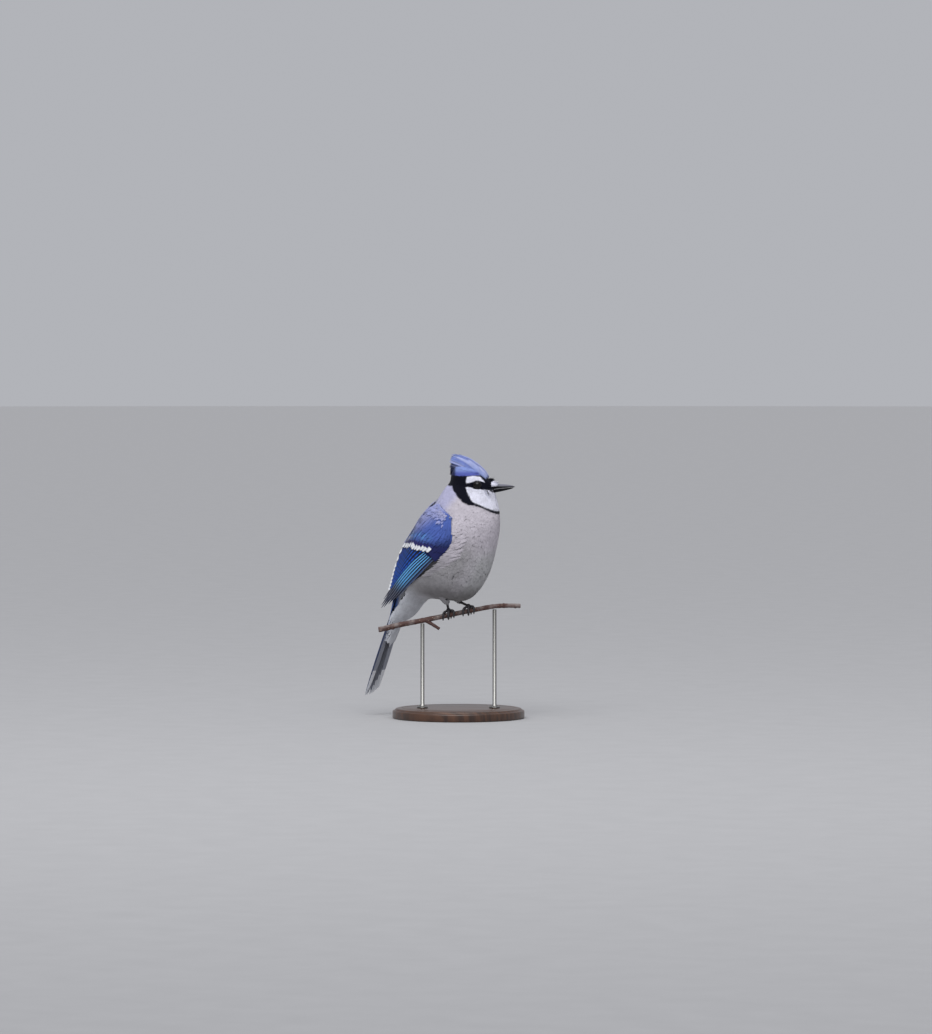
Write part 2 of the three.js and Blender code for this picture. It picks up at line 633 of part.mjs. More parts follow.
// The bare shank, with slight rings for its scutes, from just over the foot's ball to the feathered thigh.
function shankSolid(foot) {
  const low = ballPoint(foot);
  const high = kneePoint(foot);
  const along = high.clone().sub(low).normalize();
  const start = low.clone().addScaledVector(along, BALL_RADIUS - 0.6);
  const end = high.clone().addScaledVector(along, SHANK_SUNK);
  const steps = 8;
  const stations = Array.from({ length: steps + 1 }, (_, k) => {
    const f = k / steps;
    return { at: start.clone().lerp(end, f), radius: lerp(1.35, 1.5, f) * (1 + (k % 2 ? 0.06 : 0)), wide: 0.8 };
  });
  return tube(stations, 8, vec(0, 1, 0.2));
}

function thighSolid(foot, grow) {
  const knee = kneePoint(foot);
  const hip = hipPoint(foot);
  const along = knee.clone().sub(hip).normalize();
  const low = knee.clone().addScaledVector(along, -0.5);
  const stations = [0, 0.2, 0.4, 0.6, 0.8, 0.93, 1].map((f) => ({
    at: hip.clone().lerp(low, f).addScaledVector(along, f === 1 ? grow : 0),
    radius: lerp(10, 3.2, f ** 1.15) * (f === 1 ? 0.8 : 1) + grow,
  }));
  return tube(stations, 14, vec(0, 1, 0));
}

// Crest: rows of vanes from the forehead to the back of the head, in head places (forward, up from the twig)

const CREST_ROWS = [
  { root: [17, 136.5], tip: [4, 149.7], half: 5.5, count: 3 },
  { root: [13, 139.5], tip: [-7.5, 157.3], half: 6, count: 3 },
  { root: [8, 141.5], tip: [-19.5, 159], half: 6.5, count: 3 },
  { root: [2, 142], tip: [-21, 153.5], half: 6.5, count: 3 },
  { root: [-4, 141.5], tip: [-21.5, 147.5], half: 6, count: 3 },
  { root: [-9, 140.5], tip: [-22, 142.3], half: 5, count: 2 },
];
const CREST_HALF = { middle: 2.2, side: 3.1 }; // half the breadth of a crest feather
const CREST_RISE = 0.1; // how far a feather bows up from a straight line, as a share of its length
const CREST_GATHER = 0.5; // how far apart the tips are, as a share of the roots
const CREST_ROOF = 1.15; // how steeply the outermost feathers lean to the side
const CREST_FALL = 3.6; // of the outermost feathers below the middle ones

function crestVane(row, number) {
  const across = (2 * number) / (row.count - 1) - 1;
  const [rootX, rootZ] = row.root;
  const [tipX, tipZ] = row.tip;
  const length = Math.hypot(tipX - rootX, tipZ - rootZ);
  const [alongX, alongZ] = [(tipX - rootX) / length, (tipZ - rootZ) / length];
  const lean = CREST_ROOF * across;
  const surface = (f, b) => {
    const v = rowPlace(f);
    const rise = CREST_RISE * length * 4 * v * (1 - v);
    const breadth = b * lerp(CREST_HALF.middle, CREST_HALF.side, Math.abs(across)) * featherShape(v);
    const lift = rise - CREST_FALL * Math.abs(across) - breadth * Math.sin(lean);
    const forward = lerp(rootX, tipX, v) + alongZ * lift;
    const out = across * row.half * lerp(1, CREST_GATHER, v) + breadth * Math.cos(lean);
    const at = headPoint(forward, out, lerp(rootZ, tipZ, v) - alongX * lift);
    const facing = headPoint(alongZ * Math.cos(lean), Math.sin(lean), -alongX * Math.cos(lean));
    return { at, normal: facing.sub(headPoint(0, 0, 0)).normalize(), thickness: vaneThickness(v) };
  };
  return vane(surface, 3);
}

// A low ridge of flesh and down, less than half as high as the feathers that stand on it.
const CREST_CORE = { forward: -2, up: 141.5, long: 15, wide: 6.5, high: 6 };

function crestCore() {
  const { forward, up, long, wide, high } = CREST_CORE;
  const turn = new THREE.Quaternion().setFromAxisAngle(vec(0, 0, 1), rad(HEAD_TURN));
  const place = new THREE.Matrix4().compose(headPoint(forward, 0, up), turn, vec(long, wide, high));
  return solidFrom(new THREE.SphereGeometry(1, 12, 8).applyMatrix4(place));
}

function crestSolid(crown) {
  const vanes = CREST_ROWS.flatMap((row) => Array.from({ length: row.count }, (_, k) => crestVane(row, k)));
  return parted(union([crown, crestCore(), ...vanes]), CUTS.crown, 1);
}

// Stand

function baseSolid() {
  const r = BASE_RADIUS;
  const t = BASE_THICKNESS;
  const profile = [[0, 0], [r - 1, 0], [r, 1], [r, t - 3], [r - 0.8, t - 1.2], [r - 3, t], [0, t]];
  const lathe = new THREE.LatheGeometry(profile.map(([x, y]) => new THREE.Vector2(x, y)), 40);
  return solidFrom(lathe.rotateX(Math.PI / 2));
}

function rodSolid(place) {
  const top = twigPoint(place);
  const height = top.z - TWIG_RADIUS * 1.15 - GAP - (BASE_THICKNESS + GAP);
  const rod = new THREE.CylinderGeometry(ROD_RADIUS, ROD_RADIUS, height, 16).rotateX(Math.PI / 2);
  return solidFrom(rod.translate(top.x, top.y, BASE_THICKNESS + GAP + height / 2));
}

// Assembly

const bird = new THREE.Group();

function add(name, solid, color, roughness) {
  const material = new THREE.MeshStandardMaterial({ color, roughness, metalness: 0, flatShading: true });
  const mesh = new THREE.Mesh(geometryFrom(solid), material);
  mesh.name = name;
  bird.add(mesh);
}

const SIDES = { right: -1, left: 1 };
const mirrored = (solid, side) => (side > 0 ? solid.mirror([0, 1, 0]) : solid);

const billRoom = union([mandible(1, GAP), mandible(-1, GAP)]);
const wing = rightWing();

const body = bodySolid();
const crown = parted(body, CUTS.crown, 1);
let head = parted(parted(body, CUTS.crown, -1), CUTS.collar, 1);
let neck = parted(parted(body, CUTS.collar, -1), CUTS.shoulders, 1);
let torso = parted(body, CUTS.shoulders, -1);

head = head.add(lidShell(1)).add(lidShell(-1));
for (const side of [1, -1]) {
  head = head.subtract(eyeRoom(side));
  neck = neck.subtract(mirrored(wingRoom(), side));
  torso = torso.subtract(mirrored(wingRoom(), side));
}
head = head.subtract(billRoom);
torso = torso.subtract(tailRoom());
for (const foot of Object.values(FEET)) torso = torso.subtract(thighSolid(foot, GAP));

add("crest", crestSolid(crown), 0x8796c8, 0.8);
add("head", head, 0xd8d8e0, 0.8);
add("neck", neck, 0xb9bcd0, 0.8);
add("torso", torso, 0xb5b3b5, 0.85);
add("bill_upper", mandible(1, 0).subtract(nostrils()), 0x3a3a3e, 0.4);
add("bill_lower", mandible(-1, 0), 0x26262a, 0.4);
add("tail", tailSolid(), 0x5f7fb4, 0.6);
for (const [name, side] of Object.entries(SIDES)) {
  const foot = FEET[name];
  const ballRoom = ball(ballPoint(foot), BALL_RADIUS + GAP, 12, 8);
  add(`eye_${name}`, ball(eyeCentre(side), EYE_RADIUS, 14, 8), 0x120d0c, 0.1);
  add(`wing_${name}`, mirrored(wing, side), 0x3d63b8, 0.6);
  add(`thigh_${name}`, thighSolid(foot, 0), 0xb5b3b5, 0.85);
  add(`shank_${name}`, shankSolid(foot).subtract(thighSolid(foot, GAP)).subtract(ballRoom), 0x2a282a, 0.5);
  add(`foot_${name}`, footSolid(foot), 0x2a282a, 0.5);
  for (const toe of TOES) add(`claw_${name}_${toe.name}`, clawSolid(foot, toe), 0x1a191b, 0.35);
}
add("perch", twigSolid(), 0x5a4238, 0.85);
add("stand_base", baseSolid(), 0x4a3426, 0.5);
ROD_PLACES.forEach((place, i) => add(`stand_rod_${i + 1}`, rodSolid(place), 0x8c8c88, 0.35));

export default bird;
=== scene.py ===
import bpy
import numpy as np
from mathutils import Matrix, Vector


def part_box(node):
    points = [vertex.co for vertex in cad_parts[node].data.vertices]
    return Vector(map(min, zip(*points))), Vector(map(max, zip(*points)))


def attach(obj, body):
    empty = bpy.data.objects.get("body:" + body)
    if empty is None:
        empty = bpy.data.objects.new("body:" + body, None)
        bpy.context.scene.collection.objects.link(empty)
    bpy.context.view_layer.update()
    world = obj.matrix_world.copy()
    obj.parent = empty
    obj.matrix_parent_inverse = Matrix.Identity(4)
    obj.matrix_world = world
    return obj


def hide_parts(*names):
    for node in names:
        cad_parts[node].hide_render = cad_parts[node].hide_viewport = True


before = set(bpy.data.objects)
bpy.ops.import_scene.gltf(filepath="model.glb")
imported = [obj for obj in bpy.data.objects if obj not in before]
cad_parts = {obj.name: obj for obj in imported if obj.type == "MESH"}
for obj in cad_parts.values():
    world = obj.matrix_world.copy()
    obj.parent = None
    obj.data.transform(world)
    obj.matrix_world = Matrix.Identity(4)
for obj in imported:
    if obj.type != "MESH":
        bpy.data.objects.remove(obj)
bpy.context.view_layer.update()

# The stand's base
# A round board turned from dark stained wood with a soft varnish, 132 mm across and 10 mm thick.
# It has a rounded top edge and a thin bead line, and is the only thing that touches the table.
BASE_RADIUS = 66
BASE_EDGE = [  # in from the rim, and height: from the underside round the moulded edge to the bead line
    (1.6, 0), (0.5, 0.4), (0, 1.2), (0, 6.6), (0.2, 7.4), (0.9, 7.9), (1.8, 8.1), (2.4, 8.4), (2.8, 9.1),
    (3.6, 9.7), (4.8, 10), (9, 10), (9.4, 9.75), (9.9, 9.75), (10.3, 10),
]
BASE_THICKNESS = 10
AXIS = 0.01  # the radius of the smallest ring, round a turned piece's axis
BASE_SIDES = 128


def paint(red, green, blue):
    """A colour given as 0 to 255 on a screen, as the linear light values that the shaders use."""
    share = np.array([red, green, blue]) / 255
    return np.where(share <= 0.04045, share / 12.92, ((share + 0.055) / 1.055) ** 2.4)


def rgba(colour):
    """A colour with full cover."""
    return (*[float(part) for part in colour], 1.0)


def grid_faces(rows, columns, closed=False):
    """Quads over a grid of rows times columns points; closed joins the last column to the first."""
    across = columns if closed else columns - 1
    row, column = np.meshgrid(np.arange(rows - 1), np.arange(across), indexing="ij")
    here = row * columns + column
    beside = row * columns + (column + 1) % columns
    return np.stack([here, beside, beside + columns, here + columns], axis=-1).reshape(-1, 4)


def closed_faces(rows, ring):
    """The faces of a tube of rings: its walls, and a cap over each end."""
    low = np.arange(ring)[::-1][None]
    high = (rows - 1) * ring + np.arange(ring)[None]
    return [grid_faces(rows, ring, closed=True), low, high]


def lathe(profile, sides, middle):
    """A profile turned about an upright axis: each ring's points are (radius cos a, radius sin a,
    height)."""
    radius, height = np.array(profile).T
    angle = np.linspace(0, 2 * np.pi, sides, endpoint=False)
    x = middle[0] + radius[:, None] * np.cos(angle)
    y = middle[1] + radius[:, None] * np.sin(angle)
    z = np.broadcast_to((middle[2] + height)[:, None], x.shape)
    return np.stack([x, y, z], axis=-1), closed_faces(len(radius), sides)


def piece(name, points, faces, surface, slot, stands_for=()):
    """A piece of the bird or stand: points in millimetres and lists of faces, each a row of point
    numbers.

    It is set at the origin in metres, takes one material, and rides on the model's one body.
    """
    mesh = bpy.data.meshes.new(name)
    points = np.asarray(points, dtype=float).reshape(-1, 3)
    corners = np.concatenate([np.ravel(some) for some in faces])
    sizes = np.concatenate([np.full(len(some), np.shape(some)[1]) for some in faces])
    mesh.vertices.add(len(points))
    mesh.vertices.foreach_set("co", (points * 0.001).ravel())
    mesh.loops.add(len(corners))
    mesh.loops.foreach_set("vertex_index", corners.astype(np.int32))
    mesh.polygons.add(len(sizes))
    mesh.polygons.foreach_set("loop_start", (np.cumsum(sizes) - sizes).astype(np.int32))
    mesh.update(calc_edges=True)
    mesh.polygons.foreach_set("use_smooth", np.ones(len(sizes), dtype=bool))
    mesh.materials.append(surface)
    made = bpy.data.objects.new(name, mesh)
    bpy.context.scene.collection.objects.link(made)
    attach(made, "root")
    if stands_for:
        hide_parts(*stands_for)
    return made


def material(name, values):
    """A new material, with constants set on its Principled shader's own sockets."""
    made = bpy.data.materials.new(name)
    made.use_nodes = True
    shader = made.node_tree.nodes["Principled BSDF"]
    for socket, value in values.items():
        shader.inputs[socket].default_value = value
    return made, made.node_tree, shader


def node(tree, kind, inputs=None, **settings):
    """A shader node with its settings. Each input is a constant or another node's output."""
    made = tree.nodes.new("ShaderNode" + kind)
    for key, value in settings.items():
        setattr(made, key, value)
    for place, value in (inputs or {}).items():
        if isinstance(value, bpy.types.NodeSocket):
            tree.links.new(value, made.inputs[place])
        else:
            made.inputs[place].default_value = value
    return made


def maths(tree, operation, *values):
    """The output of one sum: the values are constants or outputs."""
    return node(tree, "Math", dict(enumerate(values)), operation=operation).outputs[0]


def times(tree, first, second):
    """The product of two values."""
    return maths(tree, "MULTIPLY", first, second)


def plus(tree, first, second):
    """The sum of two values."""
    return maths(tree, "ADD", first, second)


def between(tree, value, low, high, to_low=0.0, to_high=1.0):
    """A value carried smoothly from the range low to high onto another range."""
    made = node(tree, "MapRange", {0: value, 1: low, 2: high, 3: to_low, 4: to_high})
    made.interpolation_type = "SMOOTHSTEP"
    return made.outputs[0]


def mixed(tree, share, first, second, way="MIX"):
    """Two colours mixed: share 0 gives the first and 1 the second."""
    made = node(tree, "Mix", data_type="RGBA", blend_type=way)
    for place, value in ((0, share), (6, first), (7, second)):
        if isinstance(value, bpy.types.NodeSocket):
            tree.links.new(value, made.inputs[place])
        else:
            made.inputs[place].default_value = value if place == 0 else rgba(value)
    return made.outputs[2]


def group(name, inputs, outputs):
    """An empty shader group with named inputs (kind and default) and outputs (kind)."""
    tree = bpy.data.node_groups.new(name, "ShaderNodeTree")
    for label, (kind, default) in inputs.items():
        socket = tree.interface.new_socket(label, in_out="INPUT", socket_type="NodeSocket" + kind)
        if default is not None:
            socket.default_value = default
    for label, kind in outputs.items():
        tree.interface.new_socket(label, in_out="OUTPUT", socket_type="NodeSocket" + kind)
    return tree, tree.nodes.new("NodeGroupInput").outputs, tree.nodes.new("NodeGroupOutput").inputs


def use(tree, effect, inputs=None):
    """A shader group placed in a material, with its own values."""
    return node(tree, "Group", inputs, node_tree=effect).outputs


def object_places(tree):
    """Object coordinates, which are the frame's own metres."""
    return node(tree, "TexCoord").outputs["Object"]


def noise(tree, places, scale, detail):
    """Soft noise over some coordinates, about 0.3 to 0.7."""
    return node(tree, "TexNoise", {"Vector": places, "Scale": scale, "Detail": detail}).outputs["Fac"]


def feed(tree, shader, colour, roughness=None, relief=None):
    """Feeds a shader its colour and, where given, its roughness and its relief: strength, depth and
    height."""
    tree.links.new(colour, shader.inputs["Base Color"])
    if roughness is not None:
        tree.links.new(roughness, shader.inputs["Roughness"])
    if relief is not None:
        bump = node(tree, "Bump", dict(zip(("Strength", "Distance", "Height"), relief)))
        tree.links.new(bump.outputs[0], shader.inputs["Normal"])


def grain_effect():
    """Long fibres along one axis of the object: noise drawn out along the grain, with darker pores in
    it."""
    tree, given, out = group(
        "grain",
        {
            "Length": ("Float", 6.0),
            "Across": ("Float", 220.0),
            "Light": ("Color", None),
            "Dark": ("Color", None),
        },
        {"Colour": "Color", "Height": "Float"},
    )
    places = object_places(tree)
    apart = node(tree, "SeparateXYZ", {0: places}).outputs
    across = plus(tree, apart[1], times(tree, noise(tree, places, 9.0, 2.0), 0.02))
    stretched = {
        0: times(tree, apart[0], given["Length"]),
        1: times(tree, across, given["Across"]),
        2: times(tree, apart[2], 40.0),
    }
    drawn = node(tree, "CombineXYZ", stretched).outputs[0]
    fine = {"Vector": drawn, "Scale": 1.0, "Detail": 5.0, "Roughness": 0.6}
    fibres = node(tree, "TexNoise", fine).outputs["Fac"]
    broad = {"Vector": places, "Scale": 46.0, "Distortion": 7.0, "Detail": 3.0}
    rings = node(tree, "TexWave", broad, bands_direction="Y").outputs["Fac"]
    both = plus(tree, times(tree, fibres, 0.85), times(tree, rings, 0.15))
    tree.links.new(mixed(tree, between(tree, both, 0.3, 0.78), given["Dark"], given["Light"]), out["Colour"])
    tree.links.new(fibres, out["Height"])
    return tree


grain = grain_effect()


def stained_wood():
    """Dark walnut stain under satin varnish, with the grain running along the base."""
    made, tree, shader = material("stained_wood", {"Coat Weight": 0.35, "Coat Roughness": 0.18})
    light, dark = rgba(paint(88, 56, 36)), rgba(paint(46, 27, 17))
    given = use(tree, grain, {"Length": 14.0, "Across": 420.0, "Light": light, "Dark": dark})
    roughness = between(tree, given["Height"], 0.3, 0.7, 0.36, 0.5)
    feed(tree, shader, given["Colour"], roughness, (0.25, 0.0002, given["Height"]))
    return made


def stand_base():
    """The moulded edge with a flat underside and top, turned about the frame's upright axis."""
    edge = [(BASE_RADIUS - inwards, height) for inwards, height in BASE_EDGE]
    underside = [(AXIS, 0), (BASE_RADIUS - 36, 0)]
    top = [(BASE_RADIUS - 36, BASE_THICKNESS), (AXIS, BASE_THICKNESS)]
    points, faces = lathe(underside + edge + top, BASE_SIDES, (0, 0, 0))
    return piece("base_board", points, faces, stained_wood(), "stand_wood", ["stand_base"])


stand_base()

# The stand's two rods
# Thin round steel rods, brushed along their length, with a small turned collar where each enters the base.
# The real ones are glued into holes in the base and the twig. Here each ends a hair under the twig.
ROD_RADIUS = 2
ROD_SIDES = 32
COLLAR = [  # radius and height
    (2.0, 0.0), (5.2, 0.0), (5.6, 0.3), (5.6, 0.9), (5.2, 1.3),
    (3.4, 1.5), (2.7, 2.0), (2.4, 3.2), (2.0, 3.5),
]


def drawn_out(tree, places, scale):
    """Coordinates scaled along each axis, so that a pattern on them is drawn out along the smaller
    ones."""
    return node(tree, "Mapping", {"Vector": places, "Scale": scale}).outputs[0]


def brushed_steel():
    """Grey steel whose fine brushing runs up the rod: noise drawn out along the upright axis."""
    made, tree, shader = material("brushed_steel", {"Metallic": 1.0, "Anisotropic": 0.3})
    lines = noise(tree, drawn_out(tree, object_places(tree), (1500, 1500, 12)), 1.0, 3.0)
    colour = mixed(tree, lines, paint(112, 111, 109), paint(160, 159, 156))
    feed(tree, shader, colour, between(tree, lines, 0.2, 0.8, 0.24, 0.42), (0.1, 0.0001, lines))
    return made


def rod(name, surface):
    """A turned profile round the CAD rod's own axis: collar, straight shaft and a rounded top."""
    low, high = (np.array(corner) * 1000 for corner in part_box(name))
    middle = (low + high) / 2
    length = high[2] - low[2]
    shaft = [(ROD_RADIUS, length - 0.5), (ROD_RADIUS - 0.2, length - 0.15), (ROD_RADIUS - 0.6, length)]
    points, faces = lathe(COLLAR + shaft, ROD_SIDES, (middle[0], middle[1], low[2]))
    piece(name.replace("stand_", "") + "_steel", points, faces, surface, "stand_metal", [name])


steel = brushed_steel()
for rod_name in ("stand_rod_1", "stand_rod_2"):
    rod(rod_name, steel)

# The cut twig
# A smooth dark reddish-brown twig of a deciduous tree, with grey bloom, pale pores and a few bud scars.
# It is cut square at both ends and held just over the two rods; a side shoot is cut back to a stub.
PERCH_HEIGHT = 105
TWIG_RADIUS = 2.4
TWIG_TAPER = 0.0016
TWIG_LINE = [  # place along, and height over the place between the feet
    (-80, -16.5), (-60, -12), (-38, -7.8), (-18, -3.8), (0, 0), (18, 3.6), (36, 6.8), (50, 7.4), (62, 7.2),
]
TWIG_TURN = np.radians(30)
TWIG_HEADING = np.array([np.cos(TWIG_TURN), np.sin(TWIG_TURN), 0])
TOES_FORWARD = np.array([np.sin(TWIG_TURN), -np.cos(TWIG_TURN), 0])
BUD_SCARS = [(-66, 1.2), (-47, 3.9), (-27, 0.3), (29, 2.6), (45, 5.6), (57, 1.0)]  # place, angle round


def smooth(value, low, high):
    """0 below low, 1 above high, and a smooth S between them."""
    share = np.clip((value - low) / (high - low), 0, 1)
    return share * share * (3 - 2 * share)


def blend(first, second, share):
    """The straight blend of two values or rows of values."""
    return first + (second - first) * share


def smooth_at(values, place):
    """Values at fractional places on a smooth curve through them: a cubic through the two nearest, with
    the slope at each half the step between its neighbours."""
    values = np.asarray(values, dtype=float)
    last = len(values) - 1
    i = np.clip(np.floor(place).astype(int), 0, last - 1)
    f = np.asarray(place - i)
    a, b, c, d = (values[np.clip(i + k, 0, last)] for k in (-1, 0, 1, 2))
    f = f.reshape(f.shape + (1,) * (values.ndim - 1))
    return b + 0.5 * f * (c - a + f * (2 * a - 5 * b + 4 * c - d + f * (3 * (b - c) + d - a)))


def twig_point(place):
    """The middle of the twig at places along it: straight along its heading, its height on the smooth
    line."""
    along, up = np.array(TWIG_LINE, dtype=float).T
    step = np.clip(np.searchsorted(along, place, side="left") - 1, 0, len(along) - 2)
    f = (place - along[step]) / (along[step + 1] - along[step])
    height = PERCH_HEIGHT + smooth_at(up, step + f)
    return np.asarray(place)[..., None] * TWIG_HEADING + height[..., None] * np.array([0, 0, 1])


def unit(vectors):
    """Vectors scaled to a length of one."""
    return vectors / np.maximum(np.linalg.norm(vectors, axis=-1, keepdims=True), 1e-9)


def tube(line, radius, sides, flat, wide=1.0, relief=0.0):
    """Rings square to a line of points: at angle a a point lies radius (cos a across + sin a up) from
    the line.

    relief, one row for each ring, is added to the radius. Gives points as rings times sides, and the
    faces.
    """
    line = np.asarray(line, dtype=float)
    along = unit(np.gradient(line, axis=0))
    across = unit(np.cross(along, flat))
    up = np.cross(across, along)
    angle = np.linspace(0, 2 * np.pi, sides, endpoint=False)
    reach = np.broadcast_to(np.asarray(radius, dtype=float)[:, None] + relief, (len(line), sides))
    width = np.broadcast_to(np.asarray(wide, dtype=float).reshape(-1, 1), (len(line), 1))
    points = (
        line[:, None]
        + across[:, None] * (reach * width * np.cos(angle))[..., None]
        + up[:, None] * (reach * np.sin(angle))[..., None]
    )
    # across x up points back along the line, so the rings are turned round for faces that point outwards
    points = points[:, ::-1]
    return points.reshape(-1, 3), closed_faces(len(line), sides)


def joined(parts):
    """Several (points, faces) in one: the point numbers of each are moved past those before it."""
    points, faces, count = [], [], 0
    for some, theirs in parts:
        points.append(np.asarray(some).reshape(-1, 3))
        faces += [np.asarray(rows) + count for rows in theirs]
        count += len(points[-1])
    return np.concatenate(points), faces


def twig_bark():
    """Dark red-brown bark with a grey bloom in patches, drawn-out wrinkles and small pale pores."""
    made, tree, shader = material("twig_bark", {"Specular IOR Level": 0.35})
    places = object_places(tree)
    along = node(tree, "Mapping", {"Vector": places, "Rotation": (0, 0, -TWIG_TURN)}).outputs[0]
    wrinkles = noise(tree, drawn_out(tree, along, (160, 700, 700)), 1.0, 4.0)
    bloom = noise(tree, places, 90.0, 3.0)
    pores = node(tree, "TexVoronoi", {"Vector": along, "Scale": 330.0}).outputs["Distance"]
    bark = mixed(tree, wrinkles, paint(44, 29, 28), paint(104, 74, 68))
    bloomed = mixed(tree, between(tree, bloom, 0.44, 0.66, 0.0, 0.8), bark, paint(138, 130, 128))
    spotted = mixed(tree, between(tree, pores, 0.1, 0.16, 1.0, 0.0), bloomed, paint(168, 146, 124))
    height = plus(tree, wrinkles, between(tree, pores, 0.06, 0.16, 0.5, 0.0))
    feed(tree, shader, spotted, between(tree, wrinkles, 0.2, 0.8, 0.55, 0.8), (0.5, 0.0002, height))
    return made


def twig():
    """The twig and its stub as tubes. The relief is a few waves along it with a raised ring at each bud
    scar, fading to nothing where the toes grip."""
    place = np.linspace(TWIG_LINE[0][0], TWIG_LINE[-1][0], 260)
    angle = np.linspace(0, 2 * np.pi, 28, endpoint=False)
    clear = smooth(np.abs(place), 18, 26)[:, None]
    waves = 0.08 * np.sin(place * 0.9)[:, None] * np.sin(angle * 2 + 1) + 0.05 * np.sin(place * 1.7)[:, None]
    for at, round_ in BUD_SCARS:
        ring = np.exp(-(((place - at) / 1.1) ** 2))[:, None]
        waves = waves + ring * (0.12 + 0.55 * np.exp(2.5 * (np.cos(angle + round_) - 1)))
    radius = TWIG_RADIUS * (1 - TWIG_TAPER * place)
    ends = smooth(place, place[0] - 0.1, place[0] + 0.5) * smooth(-place, -place[-1] - 0.1, -place[-1] + 0.5)
    relief = waves * clear * ends[:, None]
    stem = tube(twig_point(place), radius * blend(0.86, 1, ends), 28, np.array([0, 0, 1]), relief=relief)
    f = np.linspace(0, 1, 30)
    root = twig_point(np.array([-34.0]))[0]
    shoot = root + f[:, None] * 15 * TWIG_HEADING + (-7.5 * f - 1.5 * f * f)[:, None] * np.array([0, 0, 1])
    thick = blend(1.9, 1.5, f) * blend(1, 0.85, smooth(f, 0.95, 1))
    stub = tube(shoot, thick, 20, np.array([0, 0, 1]), relief=(0.08 * np.sin(f * 21))[:, None])
    return piece("twig_stem", *joined([stem, stub]), twig_bark(), "twig_bark", ["perch"])


twig()

# The feet and shanks
# Bare blackish legs: a thin shank with ring scutes down its front, and three toes forward and one back.
# Each toe wraps the twig with round pads under its joints and scutes over its top.
FEET = {
    "right": {"place": -10, "knee": (-8, -9, 10.5), "hip": (-17, -16, 34)},
    "left": {"place": 10, "knee": (-3, 7, 11), "hip": (-13, 15, 34)},
}
TOES = [  # the shift along the twig, the angles where it leaves the foot and where its claw starts and ends
    {"shift": 2.6, "from": 118, "to": 212, "claw": 262, "radius": 1.25},
    {"shift": 5.4, "from": 105, "to": -28, "claw": -84, "radius": 1.15},
    {"shift": 0, "from": 105, "to": -52, "claw": -108, "radius": 1.3},
    {"shift": -5.4, "from": 105, "to": -34, "claw": -90, "radius": 1.15},
]
GAP = 0.3
BALL_ANGLE = 108
BALL_RADIUS = 2.3
UPRIGHT = np.array([0, 0, 1])


def grip_point(place, angle, distance):
    """Places round the twig: distance from its middle at an angle, 0 towards the toes' front and 90 on
    top."""
    angle = np.radians(angle)
    return (
        twig_point(place)
        + (distance * np.cos(angle))[..., None] * TOES_FORWARD
        + (distance * np.sin(angle))[..., None] * UPRIGHT
    )


def toe(foot, form):
    """A tube round the twig. Its radius swells at three pads, and the top has eleven low scutes."""
    f = np.linspace(0, 1, 56)
    place = foot["place"] + form["shift"] * smooth(f, -0.1, 0.55)
    angle = blend(form["from"], form["to"], f)
    pad = 1 + 0.09 * np.cos(f * 6 * np.pi)
    tip = np.sqrt(np.clip(1 - smooth(f, 0.93, 1.02) ** 2, 0.1, 1))
    radius = form["radius"] * pad * blend(1.1, 0.85, f) * tip
    distance = TWIG_RADIUS * 1.03 + GAP + 1.15 * form["radius"] + 0.5 * (1 - f) ** 2
    line = grip_point(place, angle, distance)
    outward = unit(line - twig_point(place))
    points, faces = tube(line, radius, 20, TWIG_HEADING)
    ring = points.reshape(len(f), 20, 3)
    facing = ((ring - line[:, None]) * outward[:, None]).sum(axis=2) / radius[:, None]
    scute = (1 - np.abs(2 * ((f * 11) % 1) - 1)) ** 0.5
    lift = 0.13 * scute[:, None] * smooth(facing, 0.1, 0.7)
    ring = ring + outward[:, None] * lift[..., None]
    return ring.reshape(-1, 3), faces


def ball_of(foot):
    """The middle of the foot's ball, on top of the twig."""
    distance = TWIG_RADIUS + GAP + BALL_RADIUS + 0.3
    return grip_point(np.array([foot["place"]]), np.array([BALL_ANGLE]), np.array([distance]))[0]


def shank(foot):
    """A tube from the foot's ball to inside the thigh, narrower from side to side, with nine ring
    scutes."""
    low = ball_of(foot)
    high = np.array(foot["knee"]) + PERCH_HEIGHT * UPRIGHT
    along = unit(high - low)
    f = np.linspace(0, 1, 70)
    line = blend(low + along * 0.2, high + along * 6, f[:, None])
    flare = 0.55 * np.exp(-((f / 0.1) ** 2)) + 0.45 * smooth(f, 0.45, 0.62)
    scute = (1 - np.abs(2 * ((f * 10) % 1) - 1)) ** 0.6
    return tube(line, blend(1.3, 1.45, f) + flare + 0.1 * scute, 24, np.array([0, 1, 0.2]), wide=0.82)


def globe(middle, radii, rings, sides):
    """A ball with its poles on the upright line: rings of points at equal angles from pole to pole."""
    polar = np.linspace(0.02, np.pi - 0.02, rings)[:, None]
    angle = np.linspace(0, 2 * np.pi, sides, endpoint=False)
    flat = np.sin(polar)
    unit = np.stack([flat * np.cos(angle), flat * np.sin(angle), np.cos(polar) * np.ones(sides)], axis=-1)
    points = np.asarray(middle) + unit[::-1] * np.asarray(radii)
    return points.reshape(-1, 3), closed_faces(rings, sides)


def scale_effect():
    """Small flat cells with dark joints between them, from the distance to a cell's edge."""
    tree, given, out = group("scales", {"Scale": ("Float", 900.0)}, {"Joint": "Float", "Height": "Float"})
    places = object_places(tree)
    cells = node(tree, "TexVoronoi", {"Vector": places, "Scale": given["Scale"]}, feature="DISTANCE_TO_EDGE")
    raised = between(tree, cells.outputs["Distance"], 0.0, 0.16)
    tree.links.new(raised, out["Height"])
    tree.links.new(maths(tree, "SUBTRACT", 1.0, raised), out["Joint"])
    return tree


scales = scale_effect()


